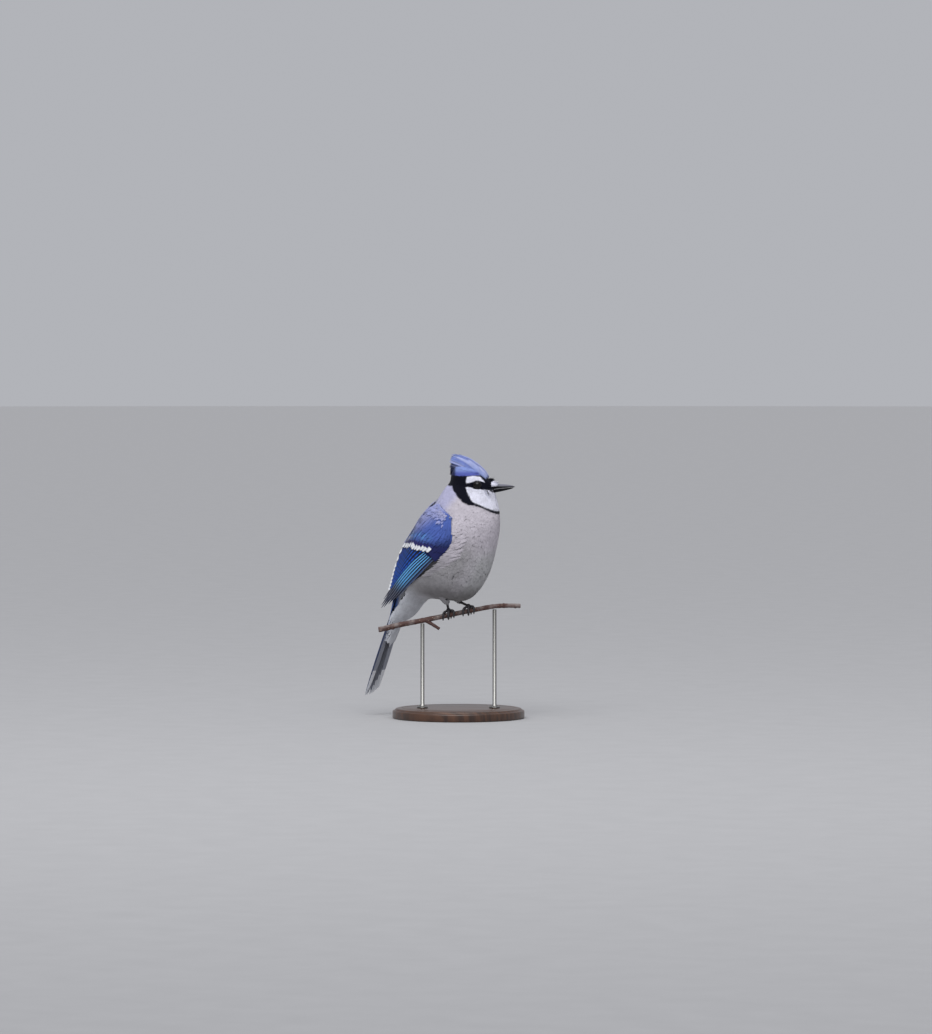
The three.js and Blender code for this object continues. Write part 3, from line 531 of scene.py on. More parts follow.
def leg_scales():
    """Blackish horny skin: dark grey scales with nearly black joints and a dull sheen."""
    made, tree, shader = material("leg_scales", {"Specular IOR Level": 0.45})
    given = use(tree, scales, {"Scale": 1100.0})
    worn = noise(tree, object_places(tree), 300.0, 3.0)
    ground = mixed(tree, worn, paint(34, 32, 36), paint(78, 74, 78))
    colour = mixed(tree, given["Joint"], ground, paint(20, 18, 20))
    feed(tree, shader, colour, between(tree, worn, 0.2, 0.8, 0.42, 0.62), (0.5, 0.0001, given["Height"]))
    return made


leg_skin = leg_scales()
for side_name, foot in FEET.items():
    parts = [toe(foot, form) for form in TOES] + [shank(foot), globe(ball_of(foot), (2.3, 2.3, 2.2), 18, 24)]
    nodes = [f"foot_{side_name}", f"shank_{side_name}"]
    piece(f"foot_{side_name}_scaled", *joined(parts), leg_skin, "leg_scales", nodes)

# The claws
# Curved black horn with a soft gloss, one on each toe, sharp and hooked round the twig.
# Each grows from the toe's tip, a hair clear of the bark.


def claw(foot, form):
    """A tube that narrows to a point as it goes on round the twig, a little deeper than it is wide."""
    f = np.linspace(0, 1, 34)
    way = np.sign(form["claw"] - form["to"])
    distance = TWIG_RADIUS * 1.03 + GAP + 1.15 * form["radius"] + 0.25 * np.sin(np.pi * f) + 0.1 * f
    angle = blend(form["to"] + way * 3.0, form["claw"], f)
    radius = form["radius"] * blend(0.74, 0.05, f**0.85)
    line = grip_point(foot["place"] + form["shift"] + 0 * f, angle, distance)
    return tube(line, radius, 18, TWIG_HEADING, wide=0.85)


def claw_horn():
    """Black horn with faint growth lines."""
    made, tree, shader = material("claw_horn", {"Coat Weight": 0.3, "Coat Roughness": 0.2})
    lines = noise(tree, object_places(tree), 700.0, 2.0)
    colour = mixed(tree, lines, paint(22, 20, 22), paint(58, 54, 56))
    feed(tree, shader, colour, between(tree, lines, 0.2, 0.8, 0.24, 0.38))
    return made


claw_surface = claw_horn()
for side_name, foot in FEET.items():
    nodes = [f"claw_{side_name}_{number}" for number in range(1, 5)]
    points, faces = joined([claw(foot, form) for form in TOES])
    piece(f"claws_{side_name}", points, faces, claw_surface, "claw_horn", nodes)

# The body's skin
# One skin over head, neck, trunk and thighs, which lies under the feathers by the coat's depth.
# It carries the same markings as the feathers, so that none of its own colour shows between them.
SECTIONS = np.array([  # middle x and z, half depth, half width, slope from back to front, narrowing in front
    (-72.5, -10, 5.5, 11, -21, 0),
    (-63.7, 2, 12, 15, -31, 0),
    (-50.7, 25.5, 19, 24, -43, 0),
    (-31, 38.5, 34, 31, -50, 0),
    (-17.3, 49.5, 45, 36, -52, 0),
    (-5.7, 65, 46, 38, -42, 0.04),
    (4.3, 85.5, 40, 36, -28, 0.06),
    (11.5, 100, 35, 29, -21, 0.06),
    (15.6, 113, 30, 22, -22, 0.1),
    (16.6, 124, 24.3, 16.5, -17, 0.15),
    (16.1, 134.5, 21.5, 14, -12, 0.25),
    (13, 141.5, 15.5, 10, -14, 0.2),
])
TOP = len(SECTIONS) - 1
CROWN_DOME = 4.5
SHEATH_STEP = 14  # how far the tail's coverts reach past the first section, for one more section
SHEATH_TAPER = 0.24
NECK_AXIS_X = 16
HEAD_TURN = np.radians(22)
TWIST = (6.5, 8.8)  # the sections between which the neck turns
BODY_DEPTH = 4.0  # of the coat on the trunk
HEAD_DEPTH = 1.4  # of the coat on the head
THIGH_DEPTH = 2.2


def turned(points, angle):
    """Points turned about the upright line through the neck."""
    x, y, z = np.moveaxis(np.asarray(points, dtype=float), -1, 0)
    away = x - NECK_AXIS_X
    cos, sin = np.cos(angle), np.sin(angle)
    return np.stack([NECK_AXIS_X + away * cos - y * sin, away * sin + y * cos, z], axis=-1)


def trunk(u, angle):
    """The bird's outer form: u counts the sections from the tail, and angle goes round from the front.

    Each section is an oval, forward depth cos and across width sin, set on its slope. Past the last
    section it shrinks and rises to a dome, before the first it runs on down the tail, and the neck
    turns it to the left.
    """
    u, angle = np.broadcast_arrays(np.asarray(u, dtype=float), np.asarray(angle, dtype=float))
    over = np.clip(u - TOP, 0, 1) * np.pi / 2
    size = np.cos(over) * (1 + SHEATH_TAPER * np.clip(u, -1, 0))
    rise = CROWN_DOME * np.sin(over) + SHEATH_STEP * np.minimum(u, 0)
    x, z, depth, width, slope, narrow = np.moveaxis(smooth_at(SECTIONS, np.clip(u, 0, TOP)), -1, 0)
    slope = np.radians(slope)
    forward = depth * np.cos(angle) * size
    across = width * np.sin(angle) * size * (1 - narrow * np.cos(angle))
    points = np.stack(
        [
            x + forward * np.cos(slope) - rise * np.sin(slope),
            across,
            PERCH_HEIGHT + z + forward * np.sin(slope) + rise * np.cos(slope),
        ],
        axis=-1,
    )
    return turned(points, HEAD_TURN * smooth(u, *TWIST))


def thigh_of(side):
    """The feathered thigh's outer form as a surface: v goes from hip to knee and angle round it."""
    foot = FEET[side]

    def surface(v, angle):
        """A cone from the hip's radius to the knee's, closed to a point past v = 1."""
        v, angle = np.broadcast_arrays(np.asarray(v, dtype=float), np.asarray(angle, dtype=float))
        hip, knee = (np.array(foot[key]) + PERCH_HEIGHT * UPRIGHT for key in ("hip", "knee"))
        along = unit(knee - hip)
        across = unit(np.cross(along, [0, 1, 0]))
        up = np.cross(along, across)
        closing = np.sqrt(np.clip(1 - smooth(v, 0.96, 1.08) ** 2, 0.0004, 1))
        radius = blend(10, 3.0, np.clip(v, 0, 1) ** 1.15) * closing
        return (
            blend(hip, knee, v[..., None])
            + across * (radius * np.cos(angle))[..., None]
            + up * (radius * np.sin(angle))[..., None]
        )

    return surface


def tangents(surface, p, q):
    """A surface's point, its two slopes by small steps either way, and its unit normal."""
    step = 0.004
    at = surface(p, q)
    by_p = (surface(p + step, q) - surface(p - step, q)) / (2 * step)
    by_q = (surface(p, q + step) - surface(p, q - step)) / (2 * step)
    normal = np.cross(by_q, by_p)
    return at, by_p, by_q, unit(normal)


# The colours of the coat, as they look in soft daylight
CROWN_VIOLET = paint(84, 94, 170)
CROWN_SKY = paint(128, 146, 204)
# the pale crown tone, partly the plumage's own and partly a painted highlight where light from above falls
CROWN_PALE_AND_HIGHLIGHT = paint(184, 188, 220)
NAPE_BLACK = paint(4, 5, 22)
FACE_WHITE = paint(226, 226, 240)
FACE_GREY = paint(176, 178, 198)
MANTLE = paint(178, 177, 206)
BACK_BLUE = paint(122, 138, 190)
RUMP_BLUE = paint(84, 116, 186)
SHOULDER_LAVENDER = paint(146, 152, 200)
BREAST = paint(194, 188, 197)
FLANK = paint(154, 152, 155)
BELLY = paint(178, 178, 180)
# painted shade: the lower belly near the legs, darkened as if the light from above did not reach it
BELLY_PAINTED_SHADE = paint(112, 110, 110)
VENT_WHITE = paint(206, 209, 216)

# The head's marks, each a line of places with its half width: from the neck's axis forward as the head is
# seen from its side, and up from the twig.
COLLAR_MARK = [
    (-19.5, 150, 0.8), (-19.2, 141, 2.2), (-14, 131.5, 6.6), (-13.2, 126, 6.6), (-10.5, 120, 5.4),
    (-6.5, 114.6, 4.4), (-3, 111.4, 2.9), (1, 109.7, 1.6), (8, 107.6, 1.0), (13, 105.3, 0.9),
    (18, 102.9, 1.3), (25, 101, 1.5), (34, 101, 1.5),
]
NAPE_MARK = [(-26, 152, 5), (-24, 141, 5), (-22, 132, 4.5)]
TEMPLE_MARK = [(-12.5, 137, 6.8), (-12.5, 132, 6.6)]
EYE_MARK = [
    (-7.5, 128.4, 1.5), (-2, 128.6, 2.4), (4.6, 128.7, 4.6),
    (9.5, 128, 3.8), (15, 127.2, 3.1), (19, 126, 2.3),
]
FOREHEAD_MARK = [(12, 136.4, 1.2), (16, 135, 1.8), (20.5, 133.8, 1.5)]
LORE_MARK = [(8.5, 137, 0.9), (12.5, 134.4, 2.0), (16.3, 130.8, 3.0), (18.6, 128, 2.4)]
SPIKE_MARK = [(17.6, 131.5, 1.4), (21.5, 134.3, 0.4)]
CREASE_MARK = [(-7, 137.2, 0.8), (1, 138.4, 0.7), (8.5, 137.7, 1.1)]
BROW_MARK = [(-2.7, 132.5, 3.7), (1.5, 134.1, 2.9), (6, 134.5, 2.2), (9.6, 133.1, 1.6), (12.2, 131.3, 0.8)]
NOSE_MARK = [(20.8, 130.4, 1.9), (24.5, 130.2, 1.4)]
GAPE_MARK = [(12, 124.7, 0.7), (17, 124.2, 1.1), (20.6, 121.8, 1.0)]
JAW_MARK = [(12, 123.4, 0.8), (14.5, 119.5, 1.7), (17, 116, 0.9)]
CROWN_EDGE = [(-30, 138), (-6, 137.6), (4, 138.2), (8.5, 138), (13, 137.3), (17, 136.3), (22, 136), (40, 136)]


def outside(places, line):
    """How far places lie outside a mark: the distance to the nearest point of its line less its half
    width there."""
    line = np.array(line, dtype=float)
    best = np.full(places.shape[:-1], np.inf)
    for a, b in zip(line[:-1], line[1:]):
        along = b[:2] - a[:2]
        share = np.clip(((places - a[:2]) @ along) / (along @ along), 0, 1)
        nearest = a[:2] + share[..., None] * along
        away = np.linalg.norm(places - nearest, axis=-1) - (a[2] + share * (b[2] - a[2]))
        best = np.minimum(best, away)
    return best


def laid(colour, mark, cover):
    """A mark's colour laid over others, its cover between 0 and 1."""
    return colour + (mark - colour) * cover[..., None]


def markings(points, u, angle):
    """The coat's colour at points of the form. The trunk is coloured by its sections, and the head and
    neck by the marks above, seen from the side that the point is on."""
    side = turned(points, -HEAD_TURN)
    lean = np.radians(8)  # between the head's own side view and the view that its marks are placed in
    across = (side[..., 0] - NECK_AXIS_X) * np.cos(lean) - np.abs(side[..., 1]) * np.sin(lean)
    up = side[..., 2] - PERCH_HEIGHT
    places = np.stack([across, up], axis=-1)
    back = smooth(np.abs((angle + np.pi) % (2 * np.pi) - np.pi), 1.75, 2.15)
    colour = np.broadcast_to(BREAST, points.shape).copy()
    colour = laid(colour, FLANK, smooth(-up, -82, -56) * smooth(np.abs(np.sin(angle)), 0.35, 0.8))
    colour = laid(colour, BELLY, smooth(-up, -72, -48) * (1 - smooth(np.abs(np.sin(angle)), 0.3, 0.75)))
    # Painted shade over the lower belly near the legs
    colour = laid(colour, BELLY_PAINTED_SHADE, 0.8 * smooth(-up, -34, -16) * smooth(u, 2, 3))
    colour = laid(colour, VENT_WHITE, smooth(-u, -2.6, -1.5))
    upper = laid(np.broadcast_to(MANTLE, points.shape).copy(), BACK_BLUE, smooth(-u, -7.4, -5.8))
    upper = laid(upper, RUMP_BLUE, smooth(-u, -4.2, -3.0))
    colour = laid(colour, upper, back)
    line = np.array([mark[:2] for mark in COLLAR_MARK[2:]])
    face = smooth(up - np.interp(across, line[:, 0], line[:, 1]), -0.4, 0.4) * smooth(across, -16, -14)
    colour = laid(colour, FACE_WHITE, face)
    soft = 0.45
    for mark, tint, cover in (
        (JAW_MARK, FACE_GREY, 0.5),
        (COLLAR_MARK, NAPE_BLACK, 1),
        (NAPE_MARK, NAPE_BLACK, 1),
        (TEMPLE_MARK, NAPE_BLACK, 1),
        (BROW_MARK, FACE_WHITE, 1),
        (EYE_MARK, NAPE_BLACK, 1),
        (LORE_MARK, NAPE_BLACK, 1),
        (FOREHEAD_MARK, NAPE_BLACK, 1),
        (SPIKE_MARK, NAPE_BLACK, 1),
        (CREASE_MARK, NAPE_BLACK, 0.9),
        (GAPE_MARK, NAPE_BLACK, 0.9),
        (NOSE_MARK, FACE_WHITE, 1),
    ):
        colour = laid(colour, tint, cover * (1 - smooth(outside(places, mark), -soft, soft)))
    edge = np.array(CROWN_EDGE)
    crown = smooth(up - np.interp(across, edge[:, 0], edge[:, 1]), -soft, soft)
    blue = laid(np.broadcast_to(CROWN_VIOLET, points.shape).copy(), CROWN_SKY, smooth(up, 139.5, 144))
    # Paler over the top front of the crown: partly its own tone, partly painted highlight
    blue = laid(blue, CROWN_PALE_AND_HIGHLIGHT, smooth(up + 0.55 * across, 143, 150))
    blue = laid(blue, NAPE_BLACK, 0.85 * smooth(-across, 15.5, 18.5))
    return laid(colour, blue, crown)


def colour_layer(made, colours):
    """The markings as a colour attribute, one colour for each point of the mesh."""
    layer = made.data.color_attributes.new(name="markings", type="FLOAT_COLOR", domain="POINT")
    full = np.concatenate([colours.reshape(-1, 3), np.ones((colours.size // 3, 1))], axis=1)
    layer.data.foreach_set("color", full.ravel())


def map_layer(made, name, places):
    """A UV map from a place for each face corner."""
    layer = made.data.uv_layers.new(name=name)
    layer.data.foreach_set("uv", np.asarray(places, dtype=float).ravel())


def skin_place(u, angle):
    """Where a place of the trunk lies on the skin's unwrap: angle from left to right, and u upwards."""
    return np.stack([0.5 + angle / (2 * np.pi) * 0.96, 0.02 + 0.78 * (u + 0.5) / (TOP + 1.5)], axis=-1)


def thigh_place(v, angle, number):
    """The same for a thigh, in the strip above the trunk's."""
    across = 0.02 + 0.46 * (number + 0.5 + angle / (2 * np.pi) * 0.9)
    return np.stack([across, 0.84 + 0.13 * np.clip(v, 0, 1)], axis=-1)


def barb_effect():
    """A feather's own pattern, from its map of breadth (0 to 0.5 on top, to 1 below) and length: fine
    barbs that slant from the shaft to the tip, and the shaft itself."""
    tree, given, out = group(
        "barbs",
        {
            "Count": ("Float", 14.0),
            "Slant": ("Float", 3.0),
            "Shaft Breadth": ("Float", 0.05),
            "Web Edge": ("Float", 0.0),
        },
        dict.fromkeys(("Barb", "Shaft", "Outer", "Underside", "Along"), "Float"),
    )
    places = node(tree, "UVMap", uv_map="feather").outputs[0]
    apart = node(tree, "SeparateXYZ", {0: places}).outputs
    below = maths(tree, "GREATER_THAN", apart[0], 0.5)
    breadth = maths(tree, "SUBTRACT", times(tree, apart[0], 4.0), 1.0)
    turned_back = maths(tree, "SUBTRACT", 3.0, times(tree, apart[0], 4.0))
    step = times(tree, maths(tree, "SUBTRACT", turned_back, breadth), below)
    across = plus(tree, breadth, step)
    away = maths(tree, "ABSOLUTE", across)
    counted = times(tree, apart[1], given["Count"])
    slanted = maths(tree, "SUBTRACT", counted, times(tree, away, given["Slant"]))
    wave = maths(tree, "SINE", times(tree, slanted, 2 * np.pi))
    tree.links.new(plus(tree, times(tree, wave, 0.5), 0.5), out["Barb"])
    tree.links.new(between(tree, away, 0.0, given["Shaft Breadth"], 1.0, 0.0), out["Shaft"])
    inner = maths(tree, "SUBTRACT", across, given["Web Edge"])
    tree.links.new(between(tree, inner, -0.06, 0.06, 1.0, 0.0), out["Outer"])
    tree.links.new(below, out["Underside"])
    tree.links.new(apart[1], out["Along"])
    return tree


barbs = barb_effect()


def shaded(tree, colour, strength):
    """A colour times a strength that is the same for its red, green and blue."""
    grey = node(tree, "CombineXYZ", {0: strength, 1: strength, 2: strength}).outputs[0]
    return mixed(tree, 1.0, colour, grey, "MULTIPLY")


def painted(tree):
    """The colour attribute that holds the markings."""
    return node(tree, "Attribute", attribute_name="markings").outputs["Color"]


def plumage():
    """Soft body feathers: the markings with painted shade towards each feather's root, darker on its shaft,
    in barbs of slightly uneven strength, quite matt with a light sheen."""
    matt = {"Roughness": 0.8, "Specular IOR Level": 0.12, "Sheen Weight": 0.06, "Sheen Roughness": 0.5}
    made, tree, shader = material("plumage", matt)
    given = use(tree, barbs, {"Count": 12.0, "Slant": 2.6, "Shaft Breadth": 0.1})
    # painted shade: each feather darkened towards its root, where the feathers over it would shade it
    rooted = between(tree, given["Along"], 0.0, 0.7, 0.9, 1.0)
    combed = between(tree, given["Barb"], 0.0, 1.0, 0.9, 1.0)
    uneven = between(tree, noise(tree, object_places(tree), 160.0, 3.0), 0.3, 0.7, 0.9, 1.06)
    past_shaft = maths(tree, "SUBTRACT", 1.0, times(tree, given["Shaft"], 0.08))
    strength = times(tree, times(tree, times(tree, rooted, combed), uneven), past_shaft)
    height = plus(tree, times(tree, given["Barb"], 0.6), given["Shaft"])
    feed(tree, shader, shaded(tree, painted(tree), strength), relief=(0.35, 0.0001, height))
    return made


def bare_skin():
    """The skin under the feathers: the markings, a little darker, with a fine pimpled grain."""
    made, tree, shader = material("bare_skin", {"Roughness": 0.9, "Specular IOR Level": 0.2})
    grains = noise(tree, object_places(tree), 700.0, 2.0)
    shade = between(tree, grains, 0.3, 0.7, 0.6, 0.8)
    feed(tree, shader, shaded(tree, painted(tree), shade), relief=(0.4, 0.0002, grains))
    return made


# The wing's shell, which the body's feathers keep under: a lower and an upper edge line, bulging between them
WING_LOWER = [(20, -31, 88), (5, -37, 63), (-18, -35.5, 42), (-39, -28, 27), (-59, -19, 11), (-79, -11, -3)]
WING_UPPER = [(-14, -17, 113), (-34, -17, 92), (-51, -15, 66), (-66, -12, 42), (-77, -10, 22), (-87, -8, 5)]
WING_BULGE = [8, 11, 9.5, 6, 3, 1]
WING_DEPTH = [5, 5, 4.8, 4.6, 4.2, 3.8]
WING_STEPS = len(WING_LOWER) - 1
WING_MARGIN = 2.5  # how far past the shell's edges a place still counts as within them
BATCH = 4000  # points compared with the shell at a time, to keep the memory small
SUNK = 5.8  # how far under the shell the skin lies at least


def wing_shell(s, t):
    """The right wing's outer face: s along it, t across it from its lower edge. Between the two edge
    lines it stands out by bulge 4 t (1 - t) along the direction square to both lines; past the
    shoulder, and above t = 0.62, it goes straight on instead, so that the long feathers' tips stand off
    the back."""
    s, t = np.broadcast_arrays(np.asarray(s, dtype=float), np.asarray(t, dtype=float))

    def rails(at):
        return smooth_at(WING_LOWER, at * WING_STEPS), smooth_at(WING_UPPER, at * WING_STEPS)

    low, high = rails(s)
    before, after = rails(s - 0.02), rails(s + 0.02)
    along = after[0] + after[1] - before[0] - before[1]
    out = unit(np.cross(high - low, along))
    past = np.maximum(t - 0.62, 0)
    swell = 4 * t * (1 - t) + 4 * past**2 * smooth(s, 0.25, 0.5)
    bulge = smooth_at(WING_BULGE, np.clip(s, 0, 1) * WING_STEPS) * swell
    return blend(low, high, t[..., None]) + out * bulge[..., None] + PERCH_HEIGHT * UPRIGHT


def wing_share(s, share):
    """Where a line at a share of the wing's breadth crosses it, with the wing rounded off towards the
    wrist."""
    gone = (1 - smooth(s, 0, 0.18)) ** 1.5
    return blend(0.26 * gone, 1 - 0.24 * gone, share)


def over_wing(points):
    """How high points lie over the nearest place of either wing's shell, and whether they are within
    its edges."""
    s, t = (some.ravel() for some in np.meshgrid(np.linspace(0, 1, 70), np.linspace(0, 1, 26), indexing="ij"))
    at, _, _, normal = tangents(wing_shell, s, wing_share(s, t))
    flat = points.reshape(-1, 3).copy()
    flat[:, 1] = -np.abs(flat[:, 1])
    height, inside = np.empty(len(flat)), np.empty(len(flat), dtype=bool)
    for start in range(0, len(flat), BATCH):
        part = slice(start, start + BATCH)
        nearest = ((flat[part, None] - at[None]) ** 2).sum(axis=2).argmin(axis=1)
        away = flat[part] - at[nearest]
        height[part] = (away * normal[nearest]).sum(axis=1)
        sideways = np.linalg.norm(away - height[part, None] * normal[nearest], axis=1)
        inside[part] = sideways < WING_MARGIN
    return height.reshape(points.shape[:-1]), inside.reshape(points.shape[:-1])


def coat_depth(u):
    """How far the skin lies under the outer form: deep on the trunk, thin on the head and at the tail."""
    return blend(BODY_DEPTH, HEAD_DEPTH, smooth(u, 6.0, 9.0)) * blend(0.35, 1, smooth(u, -0.1, 2.0))


def sunk_under_wing(points, normal):
    """Points moved in along their normals until they lie under the wing's inner face."""
    height, inside = over_wing(points)
    push = np.where(inside & (height < 12), np.clip(height + SUNK, 0, 14), 0)
    return points - normal * push[..., None]


def skin():
    """The trunk as a closed tube of rings, and each thigh as one, all a coat's depth inside the outer
    form."""
    u = np.concatenate([np.linspace(-0.25, TOP, 190), TOP + np.linspace(0.06, 0.96, 16)])
    u, angle = np.meshgrid(u, np.linspace(-np.pi, np.pi, 241)[:-1], indexing="ij")
    at, _, _, normal = tangents(trunk, u, angle)
    points = sunk_under_wing(at - normal * coat_depth(u)[..., None], normal)
    parts = [(points, closed_faces(*u.shape))]
    colours = [markings(at, u, angle)]
    places = [skin_place(u, angle)]
    for number, side in enumerate(FEET):
        v, angle = np.meshgrid(np.linspace(0, 1.06, 40), np.linspace(-np.pi, np.pi, 49)[:-1], indexing="ij")
        at, _, _, normal = tangents(thigh_of(side), v, angle)
        depth = THIGH_DEPTH * blend(1, 0.3, smooth(v, 0.6, 1.0))
        parts.append((at - normal * depth[..., None], closed_faces(*v.shape)))
        colours.append(np.broadcast_to(FLANK, at.shape))
        places.append(thigh_place(v, angle, number))
    points, faces = joined(parts)
    nodes = ["head", "neck", "torso", "thigh_right", "thigh_left"]
    made = piece("skin", points, faces, bare_skin(), "body_feathers", nodes)
    colour_layer(made, np.concatenate([some.reshape(-1, 3) for some in colours]))
    corner = np.concatenate([np.ravel(rows) for rows in faces])
    map_layer(made, "OFBake", np.concatenate([some.reshape(-1, 2) for some in places])[corner])
    return made


skin()

# The body's feathers
# Small soft contour feathers that grow from the skin in staggered rows and overlap like tiles along the body.
# They are longest on the rump and belly and smallest round the bill and eyes.
TUFT_PATCH = 0.003  # the size of each feather's patch on the bake map
DOWN_ROWS = np.array([0, 0.35, 0.65, 0.88, 1.0])  # places along a downy feather
DOWN_COLUMNS = 3  # points across its upper face
DOWN_THICK = 0.12
DOWN_ARCH = 0.05
DOWN_TURN = 0.14  # how unevenly the feathers point, in radians
DRAW = np.random.default_rng(41)


def ring_breadth(columns):
    """Places round a vane's section: from -1 to 1 over its upper face, and back under it."""
    over = np.linspace(-1, 1, columns)
    return np.concatenate([over, over[-2:0:-1]])


def vane_rings(spine, side, up, half, columns, thick, arch, ridge=0.0):
    """Closed thin vanes. At breadth b from -1 to 1 the upper face lies half thick (1 - b b) over the
    spine and the lower face as far under it; both fall by arch half b b to the rims, and the shaft adds
    its ridge at b = 0."""
    b = ring_breadth(columns)
    face = np.concatenate([np.ones(columns), -np.ones(columns - 2)])
    swell = 0.5 * thick * face * (1 - b * b)
    height = swell - arch * half[..., None] * b * b + ridge * (np.abs(b) < 0.01) * face
    across = side[..., None, :] * (half[..., None] * b)[..., None]
    return spine[..., None, :] + across + up[..., None, :] * height[..., None]


def frames(spine, normal):
    """Unit vectors across and over each point of some spines, square to their own direction."""
    along = unit(np.gradient(spine, axis=1))
    side = unit(np.cross(along, normal))
    return side, np.cross(side, along)


def vane_piece(name, sets, surface, slot, stands_for=()):
    """One piece from sets of like vanes. A set holds rings as vanes x rows x ring points, the rows'
    places along the vane, colours for each row or ring point, its place on the bake map with its
    patch's size, and may be mirrored."""
    points, faces, colours, patterns, spots, bands, rims, count = [], [], [], [], [], [], [], 0
    for one in sets:
        rings = one["rings"]
        vanes, rows, ring = rings.shape[:3]
        wall, root, end = closed_faces(rows, ring)
        row, column = np.meshgrid(np.arange(rows - 1), np.arange(ring), indexing="ij")
        v = np.asarray(one["v"])
        x = np.stack([column, column + 1, column + 1, column], axis=-1).reshape(-1, 4) / ring
        y = np.stack([v[row], v[row], v[row + 1], v[row + 1]], axis=-1).reshape(-1, 4)
        cap_x = np.arange(ring)[None] / ring
        shift = (np.arange(vanes) * rows * ring)[:, None, None] + count
        mirrored = one.get("mirrored", False)
        for face, fx, fy in ((wall, x, y), (root, cap_x[:, ::-1], 0 * cap_x), (end, cap_x, 0 * cap_x + 1)):
            if mirrored:
                face, fx, fy = face[:, ::-1], fx[:, ::-1], fy[:, ::-1]
            own = np.stack([fx, fy], axis=-1)
            faces.append((face[None] + shift).reshape(-1, face.shape[1]))
            patterns.append(np.broadcast_to(own[None], (vanes, *own.shape)).reshape(-1, 2))
            patch = np.asarray(one.get("patch", (TUFT_PATCH, TUFT_PATCH)))
            spots.append((one["places"][:, None, None] + (own[None] - 0.5) * patch).reshape(-1, 2))
        placed = rings * np.array([1, -1, 1]) if mirrored else rings
        points.append(placed.reshape(-1, 3))
        tints = one["colours"] if one["colours"].ndim == 4 else one["colours"][:, :, None]
        colours.append(np.broadcast_to(tints, rings.shape).reshape(-1, 3))
        marks = one.get("bands")
        marks = np.zeros((vanes, rows, 3)) if marks is None else marks
        bands.append(np.broadcast_to(marks[:, :, None], rings.shape).reshape(-1, 3))
        rim = np.zeros(ring, dtype=bool)
        rim[[0, ring // 2]] = True
        rims.append(np.broadcast_to(rim, (vanes, rows, ring)).ravel())
        count += vanes * rows * ring
    made = piece(name, np.concatenate(points), faces, surface, slot, stands_for)
    colour_layer(made, np.concatenate(colours))
    map_layer(made, "OFBake", np.concatenate(spots))
    map_layer(made, "feather", np.concatenate(patterns))
    layer = made.data.attributes.new("bands", "FLOAT_VECTOR", "POINT")
    layer.data.foreach_set("vector", np.concatenate(bands).ravel())
    rim = np.concatenate(rims)
    ends = np.empty(len(made.data.edges) * 2, dtype=np.int32)
    made.data.edges.foreach_get("vertices", ends)
    ends = ends.reshape(-1, 2)
    made.data.edges.foreach_set("use_edge_sharp", rim[ends[:, 0]] & rim[ends[:, 1]])
    if all("normals" in one for one in sets):
        normals = np.concatenate([one["normals"].reshape(-1, 3) for one in sets])
        made.data.normals_split_custom_set_from_vertices(normals)
    return made


def feather_breadth(v, tip=0.15, starts=0.6, power=0.5):
    """A feather's breadth along it as a share of its widest: a narrower root, and a tip that narrows
    from where it starts as (1 - x x) to a power, so that 0.5 is round and 1 is pointed."""
    rounded = np.clip(1 - np.clip((v - starts) / (1 - starts), 0, 1) ** 2, 0, 1) ** power
    return blend(0.45, 1, smooth(v, 0, 0.45)) * blend(tip, 1, rounded)


def soft_normals(normals, side, up, columns):
    """Shading normals for downy vanes, alike above and below: mostly the form's own, leaning a little
    with each vane and its breadth."""
    leant = (0.7 * normals + 0.3 * up)[..., None, :]
    return unit(leant + 0.12 * side[..., None, :] * ring_breadth(columns)[:, None])


def coat(surface, p, q, flow, length, half, depth, lift):
    """Feathers rooted at places of a surface, which follow it along the flow. At v along it a feather
    lies -depth + (depth + lift) (1 - (1 - v)^2.6) over the surface. Gives the rings, the rows' places
    and their points on the surface, and the shading normals."""
    v = DOWN_ROWS
    _, by_p, by_q, normal = tangents(surface, p, q)
    flow = unit(flow - normal * (flow * normal).sum(axis=-1, keepdims=True))
    turn = DRAW.normal(0, DOWN_TURN, len(p))[:, None]
    flow = flow * np.cos(turn) + np.cross(normal, flow) * np.sin(turn)
    pp, qq, pq = ((a * b).sum(axis=-1) for a, b in ((by_p, by_p), (by_q, by_q), (by_p, by_q)))
    fp, fq = (flow * by_p).sum(axis=-1), (flow * by_q).sum(axis=-1)
    det = np.maximum(pp * qq - pq * pq, 1e-6)
    step_p = (fp * qq - fq * pq) / det * length
    step_q = (fq * pp - fp * pq) / det * length
    p_rows = p[:, None] + step_p[:, None] * v
    q_rows = q[:, None] + step_q[:, None] * v
    over, _, _, normals = tangents(surface, p_rows, q_rows)
    height = -depth[:, None] + (depth + lift)[:, None] * (1 - (1 - v) ** 2.6)
    spine = over + normals * height[..., None]
    side, up = frames(spine, normals)
    ragged = 1 + DRAW.normal(0, 0.08, (len(p), len(v)))
    breadth = half[:, None] * feather_breadth(v) * ragged
    rings = vane_rings(spine, side, up, breadth, DOWN_COLUMNS, DOWN_THICK, DOWN_ARCH)
    return rings, p_rows, q_rows, over, soft_normals(normals, side, up, DOWN_COLUMNS)


def staggered(surface, rows_from, rows_to, spacing):
    """Places in staggered rings on a surface, spacing(p) apart along it and round it, each moved a
    little."""
    p, places = rows_from, []
    q = np.linspace(-np.pi, np.pi, 181)
    odd = 0
    while p < rows_to:
        at, by_p, _, _ = tangents(surface, np.full(181, p), q)
        lengths = np.concatenate([[0], np.cumsum(np.linalg.norm(np.diff(at, axis=0), axis=1))])
        apart = spacing(p)
        count = max(3, int(lengths[-1] / apart))
        moved = np.arange(count) + 0.5 * odd + DRAW.uniform(-0.28, 0.28, count)
        reach = moved % count / count * lengths[-1]
        own = np.interp(reach, lengths, q)
        step = apart * 0.8 / np.linalg.norm(by_p, axis=1).mean()
        places.append(np.stack([p + DRAW.uniform(-0.3, 0.3, count) * step, own], axis=-1))
        p += step
        odd = 1 - odd
    return np.concatenate(places).T


